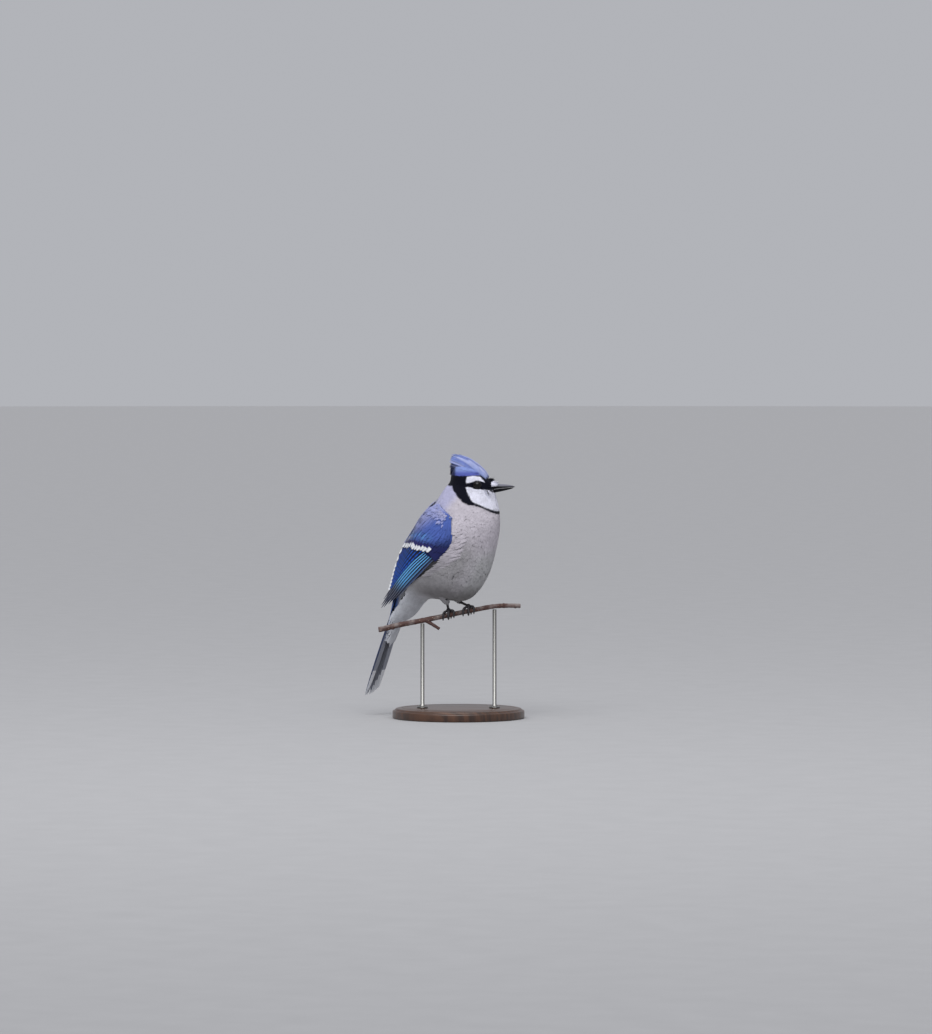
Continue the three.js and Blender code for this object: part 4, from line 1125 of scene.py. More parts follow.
COAT_PARTS = [  # the coat's three pieces, and the sections that each goes from and to
    ("feathers_belly", "body_feathers", -1, 4.2),
    ("feathers_breast", "body_feathers", 4.2, 7.9),
    ("feathers_head", "head_feathers", 7.9, 13),
]
UNDER_WING = (-4.6, 14)  # heights over the wing's shell between which a root is hidden by the wing
IN_COVERTS = (0.3, 3.6)  # heights over the shell at which a tip would come through the wing's coverts
EYE_OPENING = 3.9
BILL_OPENING = 3.2
SIZES_AT = [-0.6, 1.0, 3.0, 5.5, 7.2, 8.4, 9.2, 10.5, 12]  # the sections that the sizes below are named at
SPACING = [2.0, 2.1, 2.15, 2.1, 1.7, 1.25, 1.0, 1.0, 1.2]
LENGTH = [15, 13, 12, 10, 7.5, 4.6, 2.9, 2.9, 4.2]
HALF = [2.0, 2.1, 2.1, 1.9, 1.5, 1.0, 0.7, 0.72, 0.9]
EYE_FORWARD, EYE_SIDE, EYE_UP = 6.5, 11.2, 128.6
EYE_RADIUS = 4.3
BILL_ROOT = (19, 0, 124.5)  # where the face's feathers turn away from


def head_point(forward, left, up):
    """A place of the head: forward of the neck's axis, to its left and up from the twig, turned with
    the head."""
    place = np.broadcast_arrays(NECK_AXIS_X + forward, left, PERCH_HEIGHT + up)
    return turned(np.stack(place, axis=-1), HEAD_TURN)


def body_flow(points, by_p, u):
    """The lie of the coat: down the body, and on the head away from the bill."""
    away = unit(points - head_point(*BILL_ROOT))
    return blend(unit(-by_p), away, smooth(u, 8.2, 9.6)[:, None])


def sized(values, u):
    """A feather's size at sections of the form, straight between the named ones."""
    return np.interp(u, SIZES_AT, values)


def body_feathers():
    """Places over the whole form, less those hidden by the wings, those whose tips would come through
    the wings' coverts, and those in the eyes and in the bill, as three pieces."""
    u, angle = staggered(trunk, -0.45, TOP + 0.9, lambda p: float(sized(SPACING, p)))
    at, by_p, _, _ = tangents(trunk, u, angle)
    length = sized(LENGTH, u) * DRAW.uniform(0.85, 1.15, len(u))
    ahead = at + body_flow(at, by_p, u) * 0.7 * length[:, None]
    height, inside = over_wing(np.stack([at, ahead]))
    hidden = (inside & (height > UNDER_WING[0]) & (height < UNDER_WING[1]))[0] & (u < 8)
    piercing = inside[1] & ~inside[0] & (height[1] > IN_COVERTS[0]) & (height[1] < IN_COVERTS[1]) & (u < 9)
    seen = turned(np.stack([at, ahead]), -HEAD_TURN) - np.array([NECK_AXIS_X, 0, PERCH_HEIGHT])
    eye = np.hypot(seen[..., 0] - EYE_FORWARD, seen[..., 2] - EYE_UP).min(axis=0) < EYE_OPENING
    bill = (np.hypot(seen[0, :, 1], seen[0, :, 2] - 124.6) < BILL_OPENING) & (seen[0, :, 0] > 10)
    keep = ~(hidden | piercing | eye | bill)
    u, angle, length, at, by_p = u[keep], angle[keep], length[keep], at[keep], by_p[keep]
    half = sized(HALF, u) * DRAW.uniform(0.9, 1.1, len(u))
    depth = coat_depth(u) + 0.2
    lift = DRAW.uniform(-0.07, 0.07, len(u))
    flow = body_flow(at, by_p, u)
    rings, u_rows, angle_rows, over, normals = coat(trunk, u, angle, flow, length, half, depth, lift)
    shade = 1 + DRAW.normal(0, 0.03, (len(u), 1, 1))
    colours = markings(over, u_rows, angle_rows) * shade
    surface = plumage()
    whole = {"rings": rings, "colours": colours, "places": skin_place(u, angle), "normals": normals}
    for name, slot, low, high in COAT_PARTS:
        mine = (u >= low) & (u < high)
        one = {key: value[mine] for key, value in whole.items()} | {"v": DOWN_ROWS}
        vane_piece(name, [one], surface, slot)
    return surface


plumage_surface = body_feathers()


def thigh_feathers():
    """Soft feathers down both thighs, from the hip to just over the bare shank."""
    sets = []
    for number, side in enumerate(FEET):
        surface = thigh_of(side)
        p, q = staggered(surface, 0.0, 0.98, lambda at: 1.9)
        _, by_p, _, _ = tangents(surface, p, q)
        length = DRAW.uniform(5.5, 7.5, len(p)) * blend(1, 0.55, smooth(p, 0.6, 1.0))
        half = length * 0.24
        depth = np.full(len(p), THIGH_DEPTH * 0.9) * blend(1, 0.3, smooth(p, 0.6, 1.0))
        lift = DRAW.uniform(-0.1, 0.15, len(p))
        rings, _, _, over, normals = coat(surface, p, q, by_p, length, half, depth, lift)
        colours = np.broadcast_to(FLANK, over.shape) * (1 + DRAW.normal(0, 0.04, (len(p), 1, 1)))
        own = {"rings": rings, "colours": colours, "places": thigh_place(p, q, number), "normals": normals}
        sets.append(own | {"v": DOWN_ROWS})
    vane_piece("feathers_thighs", sets, plumage_surface, "body_feathers")


thigh_feathers()

# The tail
# Twelve long feathers in two folded stacks, the middle pair on top: blue with narrow black bars and broad
# white tips on the outer ones, and plain grey beneath. They are rooted under the rump's own feathers.
TAIL_DROP = 87
TAIL_LENGTH = 128
TAIL_TIP = np.array([-103, 0, PERCH_HEIGHT - TAIL_DROP])
TAIL_DOWN = unit(np.array([-45, 0, -120]))
TAIL_ROOT = TAIL_TIP - TAIL_DOWN * TAIL_LENGTH
TAIL_BACK = np.array([TAIL_DOWN[2], 0, -TAIL_DOWN[0]])
TAIL_PAIRS = 6
TAIL_HALF = 4.3
TAIL_STEP = 0.9
TAIL_BLUE = paint(92, 128, 206)
INNER_GREY = paint(30, 33, 56)
UNDER_GREY = paint(148, 152, 164)
TIP_WHITE = paint(246, 248, 252)
BAR_BLACK = paint(12, 12, 22)


def quills(name, web_edge, shaft, count, slant):
    """Flight and tail feathers: a bright outer web and a dark inner one, black bars and a white tip
    placed by the bands attribute (how many bars in, how strong, and how far past the white), a glossy
    shaft, grey beneath."""
    made, tree, shader = material(name, {"Specular IOR Level": 0.25, "Sheen Weight": 0.05})
    given = use(tree, barbs, {"Count": count, "Slant": slant, "Shaft Breadth": 0.07, "Web Edge": web_edge})
    bands = node(tree, "Attribute", attribute_name="bands").outputs["Vector"]
    bars, strength, past_white = node(tree, "SeparateXYZ", {0: bands}).outputs
    waver = noise(tree, object_places(tree), 260.0, 2.0)
    wave = maths(tree, "SINE", times(tree, plus(tree, bars, times(tree, waver, 0.25)), 2 * np.pi))
    barred = times(tree, between(tree, wave, 0.45, 0.75), strength)
    web = mixed(tree, given["Outer"], INNER_GREY, painted(tree))
    white = between(tree, plus(tree, past_white, times(tree, waver, 1.6)), 1.2, 0.4)
    tipped = mixed(tree, white, mixed(tree, barred, web, BAR_BLACK), TIP_WHITE)
    above = mixed(tree, times(tree, given["Shaft"], shaft), tipped, BAR_BLACK)
    under = mixed(tree, times(tree, white, 0.8), UNDER_GREY, TIP_WHITE)
    colour = mixed(tree, given["Underside"], above, under)
    combed = between(tree, given["Barb"], 0.0, 1.0, 0.88, 1.0)
    roughness = between(tree, given["Shaft"], 0.0, 1.0, 0.55, 0.35)
    height = plus(tree, times(tree, given["Barb"], 0.5), given["Shaft"])
    feed(tree, shader, shaded(tree, colour, combed), roughness, (0.3, 0.0001, height))
    return made


tail_surface = quills("tail_quills", 0.0, 0.8, 150.0, 9.0)
tail_middle_surface = quills("tail_middle_quills", 1.2, 0.8, 150.0, 9.0)


def vane_rows(count):
    """Places along a long vane, closer together towards its tip."""
    return 1 - (1 - np.linspace(0, 1, count)) ** 1.3


def cells(count, across, low, high):
    """The middles and the size of equal cells, across to a row, in a band of the bake map from low to
    high."""
    rows = int(np.ceil(count / across))
    column, row = np.arange(count) % across, np.arange(count) // across
    places = np.stack([(column + 0.5) / across, low + (row + 0.5) / rows * (high - low)], axis=-1)
    return places, (0.9 / across, 0.9 * (high - low) / rows)


def bar_bands(v, length, period, strength, white):
    """The bands of feathers: bars counted from the tip, their strength, and millimetres from the white
    tip's edge."""
    left = (1 - v) * length[:, None]
    strength, white = (np.broadcast_to(some, left.shape) for some in (strength, white))
    return np.stack([left / period, strength, left - white], axis=-1)


def tail():
    """One side's six feathers as vanes down the tail, and the other side's as their mirror. Each
    further pair lies one layer lower, further out and a little shorter."""
    pair = np.arange(TAIL_PAIRS)[:, None]
    v = vane_rows(40)
    shorter = 9 * (pair / (TAIL_PAIRS - 1)) ** 1.5
    length = (TAIL_LENGTH - shorter)[:, 0]
    middle = 2.2 + pair * blend(0.5, 1.45, v)
    half = TAIL_HALF * blend(0.7, 1, v) * feather_breadth(v, 0.08)
    inner = np.maximum(0.2, middle - half)
    inner[0] = middle[0] - half
    outer = middle + half
    sets, middle_pair = [], []
    for number, side in enumerate((-1, 1)):
        layer = (TAIL_PAIRS - 1 - pair + ((pair == 0) & (side > 0))) * TAIL_STEP
        out = (inner + outer) / 2
        down = length[:, None] * v
        spine = (
            TAIL_ROOT
            + down[..., None] * TAIL_DOWN
            + (layer - 0.05 * out)[..., None] * TAIL_BACK
            + out[..., None] * np.array([0, -1, 0])
        )
        across, up = frames(spine, np.broadcast_to(TAIL_BACK, spine.shape))
        rings = vane_rings(spine, across, up, (outer - inner) / 2, 9, 0.4, 0.03, 0.15)
        colours = np.broadcast_to(TAIL_BLUE, spine.shape)
        white = np.array([2, 5, 9, 13, 17, 20])[:, None]
        bands = bar_bands(v, length, 4.2, 0.9, white)
        places, patch = cells(TAIL_PAIRS * 2, 6, 0.02, 0.98)
        mine = slice(number * TAIL_PAIRS, (number + 1) * TAIL_PAIRS)
        whole = {"rings": rings, "colours": colours, "bands": bands, "places": places[mine]}
        shared = {"v": v, "patch": patch, "mirrored": side > 0}
        middle_pair.append({key: value[:1] for key, value in whole.items()} | shared)
        sets.append({key: value[1:] for key, value in whole.items()} | shared)
    vane_piece("tail_quills", sets, tail_surface, "tail_feathers", ["tail"])
    vane_piece("tail_middle_quills", middle_pair, tail_middle_surface, "tail_feathers")


tail()

# The wings
# Each folded wing is a fleshy arm with flight feathers fanned from its hind edge, three tertials and six
# secondaries over six primaries, and rows of coverts like tiles over their roots. The greater coverts' white
# tips make a bar across the wing.
FLIGHT_ROOT = 0.25
NO_WHITE = -2.0  # the white's edge in millimetres from the tip, past it for a feather with no white
WING_ARM_END = 0.5
WING_LENGTH = 132
PRIMARY_AZURE = paint(96, 178, 240)
PRIMARY_EDGE = paint(160, 168, 190)
PRIMARY_GREY = paint(48, 50, 66)
PRIMARY_DUSKY = paint(58, 50, 92)
SECONDARY_BLUE = paint(0, 84, 190)
TERTIAL_BLUE = paint(6, 72, 178)
SHOULDER_BLUE = paint(72, 96, 172)
SHOULDER_NAVY = paint(22, 34, 84)
COVERT_STREAK = paint(100, 156, 224)
VIOLET_BAND = paint(38, 34, 104)


def chord(s):
    """The wing's breadth at s, from its lower edge line to its upper one."""
    across = smooth_at(WING_UPPER, s * WING_STEPS) - smooth_at(WING_LOWER, s * WING_STEPS)
    return np.linalg.norm(across, axis=-1)


def wing_vanes(s, t, half, height, slope, columns, thick, ridge, arch=0.02):
    """Vanes on the wing's shell: spines through s and t at a height over it, each vane leaning by its
    slope so that its upper rim passes under the next."""
    at, _, _, normal = tangents(wing_shell, s, t)
    spine = at + normal * height[..., None]
    side, up = frames(spine, normal)
    lean = np.arctan(slope)
    tilted = side * np.cos(lean) - up * np.sin(lean)
    over = up * np.cos(lean) + side * np.sin(lean)
    return vane_rings(spine, tilted, over, half, columns, thick, arch, ridge)


FLIGHTS = {  # t at each root and at its line's end, s at its tip, and the half breadth and bend of all
    "primary": {
        "root": np.linspace(0.06, 0.26, 6),
        "end": np.linspace(0.22, 1.0, 6),
        "tip": np.array([0.8, 0.88, 0.94, 0.975, 0.95, 0.88]),
        "half": 3.5,
        "bend": 1.4,
    },
    "secondary": {
        "root": np.linspace(0.33, 0.72, 6),
        "end": np.linspace(1.2, 1.45, 6),
        "tip": np.linspace(0.78, 0.61, 6),
        "half": 3.8,
        "bend": 1.5,
    },
    "tertial": {
        "root": np.array([0.79, 0.87, 0.95]),
        "end": np.array([1.42, 1.38, 1.28]),
        "tip": np.array([0.57, 0.515, 0.46]),
        "half": 4.2,
        "bend": 1.5,
    },
}


def flights():
    """The flight feathers from the outermost primary to the innermost tertial. Each runs from its root
    to its own tip along a line that bends with a power of the way gone, and lies under all that come
    after it."""
    kinds = list(FLIGHTS.values())
    root, end, tip = (np.concatenate([kind[key] for kind in kinds]) for key in ("root", "end", "tip"))
    sizes = [len(kind["tip"]) for kind in kinds]
    broad, bend = (np.repeat([kind[key] for kind in kinds], sizes) for key in ("half", "bend"))
    total, primaries = sum(sizes), sizes[0]
    v = vane_rows(44)
    s = FLIGHT_ROOT + (tip - FLIGHT_ROOT)[:, None] * v

    def line(number, at):
        gone = np.clip((at - FLIGHT_ROOT) / (1 - FLIGHT_ROOT), 0, None)
        return blend(root[number], end[number], gone ** bend[number])

    t = np.stack([line(number, s[number]) for number in range(total)])
    drop = np.zeros_like(s)
    for number in range(total):
        for above in range(number, total - 1):
            apart = (line(above + 1, s[number]) - line(above, s[number])) * chord(s[number])
            there = 1 - smooth(s[number], tip[above + 1], tip[above + 1] + 0.2)
            drop[number] += there * np.maximum(0, 0.62 - 0.22 * apart)
    sunk = 2.2 * (1 - smooth(v, 0, 0.2))
    low = 0.6 - smooth_at(WING_DEPTH, np.clip(s, 0, 1) * WING_STEPS)
    height = np.maximum(-drop - sunk + 0.1, low)
    pointed = np.arange(total) < primaries
    shape = np.where(pointed[:, None], feather_breadth(v, 0.06, 0.5, 0.9), feather_breadth(v, 0.2, 0.75))
    half = broad[:, None] * shape * np.where(pointed, np.linspace(0.75, 1, total), 1)[:, None]
    rings = wing_vanes(s, t, half, height, 0.22, 11, 0.32, 0.12)
    ground = np.repeat([PRIMARY_AZURE, SECONDARY_BLUE, TERTIAL_BLUE], sizes, axis=0)
    rim = ring_breadth(11) < -0.95
    colours = np.broadcast_to(ground[:, None, None], (*s.shape, 20, 3))
    lowest = np.clip(1 - np.arange(total) / 2, 0, 1)[:, None, None]
    colours = laid(colours, PRIMARY_DUSKY, 0.85 * lowest * np.ones((total, len(v), 20)))
    dusky = (smooth(s, 0.56, 0.74) * pointed[:, None])[..., None] * np.ones(20)
    colours = laid(colours, PRIMARY_GREY, dusky)
    colours = laid(colours, PRIMARY_EDGE, (0.25 + 0.75 * dusky) * pointed[:, None, None] * rim)
    strength = np.where(pointed, 0.0, 0.55)[:, None]
    white = np.where(pointed, NO_WHITE, 4.8)[:, None]
    bands = bar_bands(v, (tip - FLIGHT_ROOT) * WING_LENGTH, 5.0, strength, white)
    places, patch = cells(total, total, 0.5, 0.98)
    return {"rings": rings, "v": v, "colours": colours, "bands": bands, "places": places, "patch": patch}


COVERT_ROWS = [  # from the white bar at 0 to the wrist at 1: how many, length in s, half breadth, height
    {"row": 0.0, "count": 13, "length": 0.17, "half": 3.2, "level": 1.5, "bars": 0.5, "white": 5.0},
    {"row": 0.2, "count": 14, "length": 0.13, "half": 2.3, "level": 2.0},
    {"row": 0.3, "count": 16, "length": 0.11, "half": 2.1, "level": 2.3},
    {"row": 0.4, "count": 18, "length": 0.1, "half": 2.0, "level": 2.5},
    {"row": 0.49, "count": 19, "length": 0.09, "half": 1.9, "level": 2.65},
    {"row": 0.58, "count": 20, "length": 0.08, "half": 1.8, "level": 2.75},
    {"row": 0.66, "count": 20, "length": 0.08, "half": 1.8, "level": 2.8},
    {"row": 0.74, "count": 20, "length": 0.075, "half": 1.8, "level": 2.8},
    {"row": 0.82, "count": 19, "length": 0.075, "half": 1.8, "level": 2.75},
    {"row": 0.9, "count": 18, "length": 0.07, "half": 1.8, "level": 2.6},
]
LOWER_ROWS = [  # the primary coverts and the alula along the lower edge: t from and to, s at the root and tip
    {"count": 9, "t": (0.02, 0.24), "root": 0.12, "tip": (0.3, 0.27), "half": 2.2, "level": 1.0},
    {"count": 4, "t": (0.01, 0.12), "root": 0.09, "tip": (0.22, 0.25), "half": 2.1, "level": 1.5},
    {"count": 4, "t": (0.0, 0.14), "root": 0.06, "tip": (0.17, 0.2), "half": 2.0, "level": 1.9},
]


def covert_tints(s, share):
    """The shoulder's colour over the wing: lavender at the upper front, blue below it, azure streaks
    over a violet band at the white bar, and navy towards the lower edge."""
    bar = bar_line(share)
    colours = np.broadcast_to(SHOULDER_BLUE, (*np.shape(s), 3))
    colours = laid(colours, SHOULDER_LAVENDER, smooth(share - 1.5 * s, 0.22, 0.62))
    navy = smooth(s - 0.4 * share, 0.06, 0.17) * (1 - smooth(share, 0.3, 0.65))
    colours = laid(colours, SHOULDER_NAVY, navy)
    streaks = np.exp(-(((bar - s - 0.1) / 0.022) ** 2)) * smooth(share, 0.25, 0.45)
    colours = laid(colours, COVERT_STREAK, streaks * DRAW.uniform(0.1, 1.0, (len(s), 1)))
    band = smooth(s, bar - 0.075, bar - 0.055) * blend(0.35, 1, smooth(share, 0.15, 0.35))
    return laid(colours, VIOLET_BAND, band)


def bar_line(share):
    """Where the greater coverts' tips end along the wing, which slants back towards its upper edge."""
    return 0.235 + 0.175 * np.asarray(share)


def covert_set(share, root, tip, half, level, v, bars=0.0, white=NO_WHITE):
    """One row of coverts as vanes over the shell from root to tip, the lower ones lying deeper."""
    share, root, tip = share[:, None], root[:, None], tip[:, None]
    s = blend(root, tip, v)
    t = wing_share(s, share)
    half = half * feather_breadth(v, 0.45 if white > 0 else 0.2) * DRAW.uniform(0.92, 1.08, share.shape)
    height = level - 2.0 * (1 - share) - level * (1 - smooth(v, 0, 0.4))
    height = height + DRAW.uniform(-0.1, 0.1, share.shape) + 0 * s
    rings = wing_vanes(s, t, half, height, 0.14, 5, 0.2, 0.02, 0.06)
    colours = covert_tints(s, share + 0 * s) * (1 + DRAW.normal(0, 0.06, (len(share), 1, 1)))
    bands = bar_bands(v, (tip - root)[:, 0] * WING_LENGTH, 3.6, bars, white)
    return {"rings": rings, "v": v, "colours": colours, "bands": bands}


def coverts():
    """The rows of coverts from the white bar up to the wrist, and those along the wing's lower edge."""
    v = vane_rows(11)
    sets = []
    for row in LOWER_ROWS:
        place = np.linspace(0, 1, row["count"])
        share, tip = blend(*row["t"], place), blend(*row["tip"], place)
        root = np.full(row["count"], row["root"])
        sets.append(covert_set(share, root, tip, row["half"], row["level"], v))
    for row in COVERT_ROWS:
        bars, white = row.get("bars", 0.0), row.get("white", NO_WHITE)
        first = 0.24 if white > 0 else blend(0.16, 0.01, smooth(row["row"], 0.15, 0.5))
        share = np.linspace(first, 0.98, row["count"]) + DRAW.uniform(-0.012, 0.012, row["count"])
        tip = blend(bar_line(share), -0.02 + 0.03 * share, row["row"])
        tip = tip + DRAW.uniform(-0.006, 0.006, row["count"])
        root = tip - row["length"]
        sets.append(covert_set(share, root, tip, row["half"], row["level"], v, bars, white))
    places, patch = cells(sum(len(one["rings"]) for one in sets), 24, 0.0, 0.5)
    start = 0
    for one in sets:
        one["places"], one["patch"] = places[start : start + len(one["rings"])], patch
        start += len(one["rings"])
    return sets


def wing_arm():
    """The arm as one closed slab on the shell, from its inner face to just under the coverts."""
    columns, rows = 17, 40
    b = ring_breadth(columns)
    face = np.concatenate([np.ones(columns), np.zeros(columns - 2)])
    face[[0, columns - 1]] = 0.5
    v = np.linspace(0.01, 1, rows)
    s = np.broadcast_to((v * WING_ARM_END)[:, None], (rows, len(b)))
    low = wing_share(s, 0.05)
    high = wing_share(s, 1.0) - 0.35 * smooth(s, 0.3, WING_ARM_END)
    rounding = 2.2 * b**6 * (1 - smooth(s, 0.2, 0.4)) + 3 * (1 - smooth(s, 0, 0.08))
    top = blend(1.0, -3.6, smooth(s, 0.12, WING_ARM_END)) - rounding
    bottom = 0.45 - smooth_at(WING_DEPTH, s * WING_STEPS)
    at, _, _, normal = tangents(wing_shell, s, blend(low, high, (b + 1) / 2))
    rings = (at + normal * blend(bottom, np.maximum(top - 0.3, bottom + 0.2), face)[..., None])[None]
    colours = np.broadcast_to(SHOULDER_NAVY, (1, rows, 3))
    places, patch = np.array([[0.9, 0.25]]), (0.1, 0.3)
    return {"rings": rings, "v": v, "colours": colours, "places": places, "patch": patch}


EDGE_TUFTS = [  # rows over the wing's edges: s from and to, how many, t at the root and tip, length, height
    {"s": (0.0, 0.34), "count": 74, "root": -0.19, "tip": -0.03, "reach": 0.08, "over": 1.5, "tint": "pale"},
    {"s": (0.0, 0.27), "count": 60, "root": -0.24, "tip": -0.1, "reach": 0.085, "over": 1.1, "tint": "pale"},
    {"s": (0.0, 0.28), "count": 54, "root": 1.1, "tip": 0.95, "reach": 0.1, "over": 2.4, "tint": "blue"},
    {"s": (0.0, 0.24), "count": 48, "root": 1.17, "tip": 1.03, "reach": 0.1, "over": 2.0, "tint": "blue"},
]
SCAPULARS = {"s": (-0.04, 0.01), "rows": 4, "count": 24, "reach": 0.085, "over": 3.6}


def edge_vanes(s, t, end_s, end_t, over, half, colours, root_depth=2.5):
    """Soft feathers from roots sunk by root_depth to tips lying over the wing's edge, placed by the
    shell's s and t. Ahead of the wing its face is carried straight on for them."""
    v = np.array([0, 0.3, 0.6, 0.85, 1.0])
    s_rows = blend(s[:, None], end_s[:, None], v)
    t_rows = blend(t[:, None], end_t[:, None], v)
    held = np.maximum(s_rows, 0.01)
    at, by_s, _, normal = tangents(wing_shell, held, t_rows)
    height = -root_depth + (over + root_depth)[:, None] * (1 - (1 - v) ** 2)
    spine = at + by_s * (s_rows - held)[..., None] + normal * height[..., None]
    side, up = frames(spine, normal)
    breadth = half * feather_breadth(v) * DRAW.uniform(0.8, 1.2, (len(s), 1))
    rings = vane_rings(spine, side, up, breadth, 3, 0.12, 0.05)
    tinted = np.broadcast_to(colours[:, None], spine.shape) * (1 + DRAW.normal(0, 0.04, (len(s), 1, 1)))
    spot = [0.02 + 0.3 * np.clip(s + 0.2, 0, 1), 0.02 + 0.7 * np.clip(t + 0.3, 0, 1.5) / 1.5]
    own = {"rings": rings, "v": v, "colours": tinted, "places": np.stack(spot, axis=-1)}
    return own | {"normals": soft_normals(normal, side, up, 3)}


def edge_feathers():
    """The breast's and flank's feathers that lap over the wing's lower edge, the mantle's that lap over
    its upper edge, and the scapulars that lie down over the shoulder."""
    sets = []
    for row in EDGE_TUFTS:
        s = np.linspace(*row["s"], row["count"]) + DRAW.uniform(-0.012, 0.012, row["count"])
        t = row["root"] + DRAW.uniform(-0.03, 0.03, row["count"])
        end_t = row["tip"] + DRAW.uniform(-0.025, 0.025, row["count"])
        pale, blue = (np.tile(tint, (row["count"], 1)) for tint in (BREAST, SHOULDER_LAVENDER))
        pale = laid(pale, FLANK, 0.7 * smooth(s, 0.08, 0.28))
        blue = laid(blue, SHOULDER_BLUE, smooth(s, 0.08, 0.28))
        reach = row["reach"] * DRAW.uniform(0.8, 1.2, row["count"])
        over = row["over"] + DRAW.uniform(-0.2, 0.2, row["count"])
        sets.append(edge_vanes(s, t, s + reach, end_t, over, 1.0, pale if row["tint"] == "pale" else blue))
    for number in range(SCAPULARS["rows"]):
        count = SCAPULARS["count"]
        place = 0.22 + 0.78 * (np.arange(count) + 0.5 * (number % 2)) / count
        s = blend(*SCAPULARS["s"], number / (SCAPULARS["rows"] - 1)) + 0.03 * place
        s = s + DRAW.uniform(-0.012, 0.012, count)
        t = wing_share(np.maximum(s, 0), 0.98 * place)
        colours = np.tile(SHOULDER_LAVENDER, (count, 1))
        colours = laid(colours, MANTLE, smooth(-s, -0.02, 0.08))
        colours = laid(colours, BREAST, 1 - smooth(place + 1.5 * s, -0.05, 0.25))
        over = SCAPULARS["over"] - 1.8 * (1 - place) + DRAW.uniform(-0.2, 0.2, count)
        reach = SCAPULARS["reach"] * DRAW.uniform(0.8, 1.2, count) * blend(0.7, 1, place)
        sets.append(edge_vanes(s, t, s + reach, wing_share(s + reach, 0.98 * place), over, 1.2, colours, 5.5))
    return sets


def wings():
    """The right wing's arm, flights and coverts, and the left wing as their mirror."""
    quill_surface = quills("wing_quills", -0.42, 0.5, 150.0, 9.0)
    covert_surface = quills("wing_coverts", 1.2, 0.25, 40.0, 4.0)
    long_ones, tiles, arm, edges = flights(), coverts(), wing_arm(), edge_feathers()
    for side, mirrored in (("right", False), ("left", True)):
        for name, sets, surface, slot, nodes in (
            (f"wing_{side}_quills", [long_ones], quill_surface, "wing_feathers", [f"wing_{side}"]),
            (f"wing_{side}_coverts", tiles, covert_surface, "wing_feathers", []),
            (f"wing_{side}_arm", [arm], plumage_surface, "wing_feathers", []),
            (f"feathers_edge_{side}", edges, plumage_surface, "body_feathers", []),
        ):
            vane_piece(name, [one | {"mirrored": mirrored} for one in sets], surface, slot, nodes)



wings()

# The bill
# Two mandibles of dark grey horn, closed on a nearly straight mouth line, the upper with a faint hook.
# Both are set into the head, and the feathers of the face grow forward over their root.
BILL = {
    "base": 16.5,
    "up": 123.5,
    "pitch": 7,
    "half": 4.2,
    "upper": 4.9,
    "lower": 3.5,
    "sunk": 6,
    "hook": 0.6,
}
BILL_LENGTH = 26
MOUTH_GAP = 0.3


def mandible(direction):
    """Half an oval over the mouth line, carried from inside the face to the tip: height and breadth
    shrink with the way gone, and the mouth line falls with its fourth power to the hook."""
    f = np.linspace(0, 1, 60)[:, None] ** 0.9
    depth = BILL["upper"] if direction > 0 else BILL["lower"]
    length = BILL_LENGTH if direction > 0 else 0.95 * BILL_LENGTH
    along = BILL["base"] - BILL["sunk"] + f * (length + BILL["sunk"])
    height = depth * blend(0.12, 1, (1 - f**2.2) ** 0.75)
    width = BILL["half"] * blend(0.1, 1, (1 - f) ** 0.75)
    drop = BILL["hook"] * np.clip((along - BILL["base"]) / BILL_LENGTH, 0, None) ** 4
    arc = np.linspace(0, np.pi, 25)[None]
    flat = np.linspace(-1, 1, 9)[None, 1:-1]
    keel = 1 + 0.06 * np.exp(-(((arc - np.pi / 2) / 0.16) ** 2))
    across = np.concatenate([np.cos(arc) * width, flat * width], axis=1)
    over = np.concatenate([np.sin(arc) ** 0.92 * keel * height, 0 * flat * width], axis=1)
    pitched = (along - BILL["base"]) * np.tan(np.radians(BILL["pitch"]))
    up = direction * MOUTH_GAP / 2 - drop + direction * over + pitched
    points = head_point(along + 0 * across, across, BILL["up"] + up)
    if direction > 0:
        points = points[:, ::-1]
    return points.reshape(-1, 3), closed_faces(*points.shape[:2])


def bill_horn():
    """Blackish horn with faint growth lines, and a painted highlight of the pale sky along the top ridge."""
    made, tree, shader = material("bill_horn", {"Specular IOR Level": 0.15})
    places = object_places(tree)
    lines = noise(tree, drawn_out(tree, places, (160, 160, 900)), 1.0, 4.0)
    height = node(tree, "SeparateXYZ", {0: places}).outputs[2]
    # painted highlight: the horn paler along the top ridge, where the sky lights it
    ridge = between(tree, height, (PERCH_HEIGHT + 126.2) * 0.001, (PERCH_HEIGHT + 128.6) * 0.001)
    horn = mixed(tree, lines, paint(4, 4, 8), paint(16, 15, 22))
    colour = mixed(tree, times(tree, ridge, 0.8), horn, paint(128, 128, 140))
    feed(tree, shader, colour, between(tree, lines, 0.2, 0.8, 0.42, 0.55), (0.3, 0.0001, lines))
    return made


horn_surface = bill_horn()
for label, direction in (("upper", 1), ("lower", -1)):
    piece(f"bill_{label}_horn", *mandible(direction), horn_surface, "bill_horn", [f"bill_{label}"])

# The bristles round the bill
# White feathers lie forward over the bill's root, with a small black tuft above them, and thin black bristles
# hang at the corners of the mouth.
FACE_TUFTS = [  # forward and up at the root and the tip, reach to the sides at each, half breadth, how many
    {"root": (17, 129.2), "tip": (25.4, 130.0), "sides": (5.6, 4.2), "half": 0.6, "count": 50},
    {"root": (16, 130.6), "tip": (24.4, 131.0), "sides": (5.2, 3.6), "half": 0.6, "count": 44},
    {"root": (15, 132.0), "tip": (23.2, 131.9), "sides": (4.6, 3.0), "half": 0.6, "count": 36},
]
BLACK_TUFT = {"root": (15, 133.8), "tip": (21.6, 134.6), "sides": (4.0, 2.4), "half": 0.5, "count": 36}
BRISTLES = {"root": (13, 124.8), "tip": (17.5, 119.2), "sides": (11.0, 9.8), "half": 0.12, "count": 14}


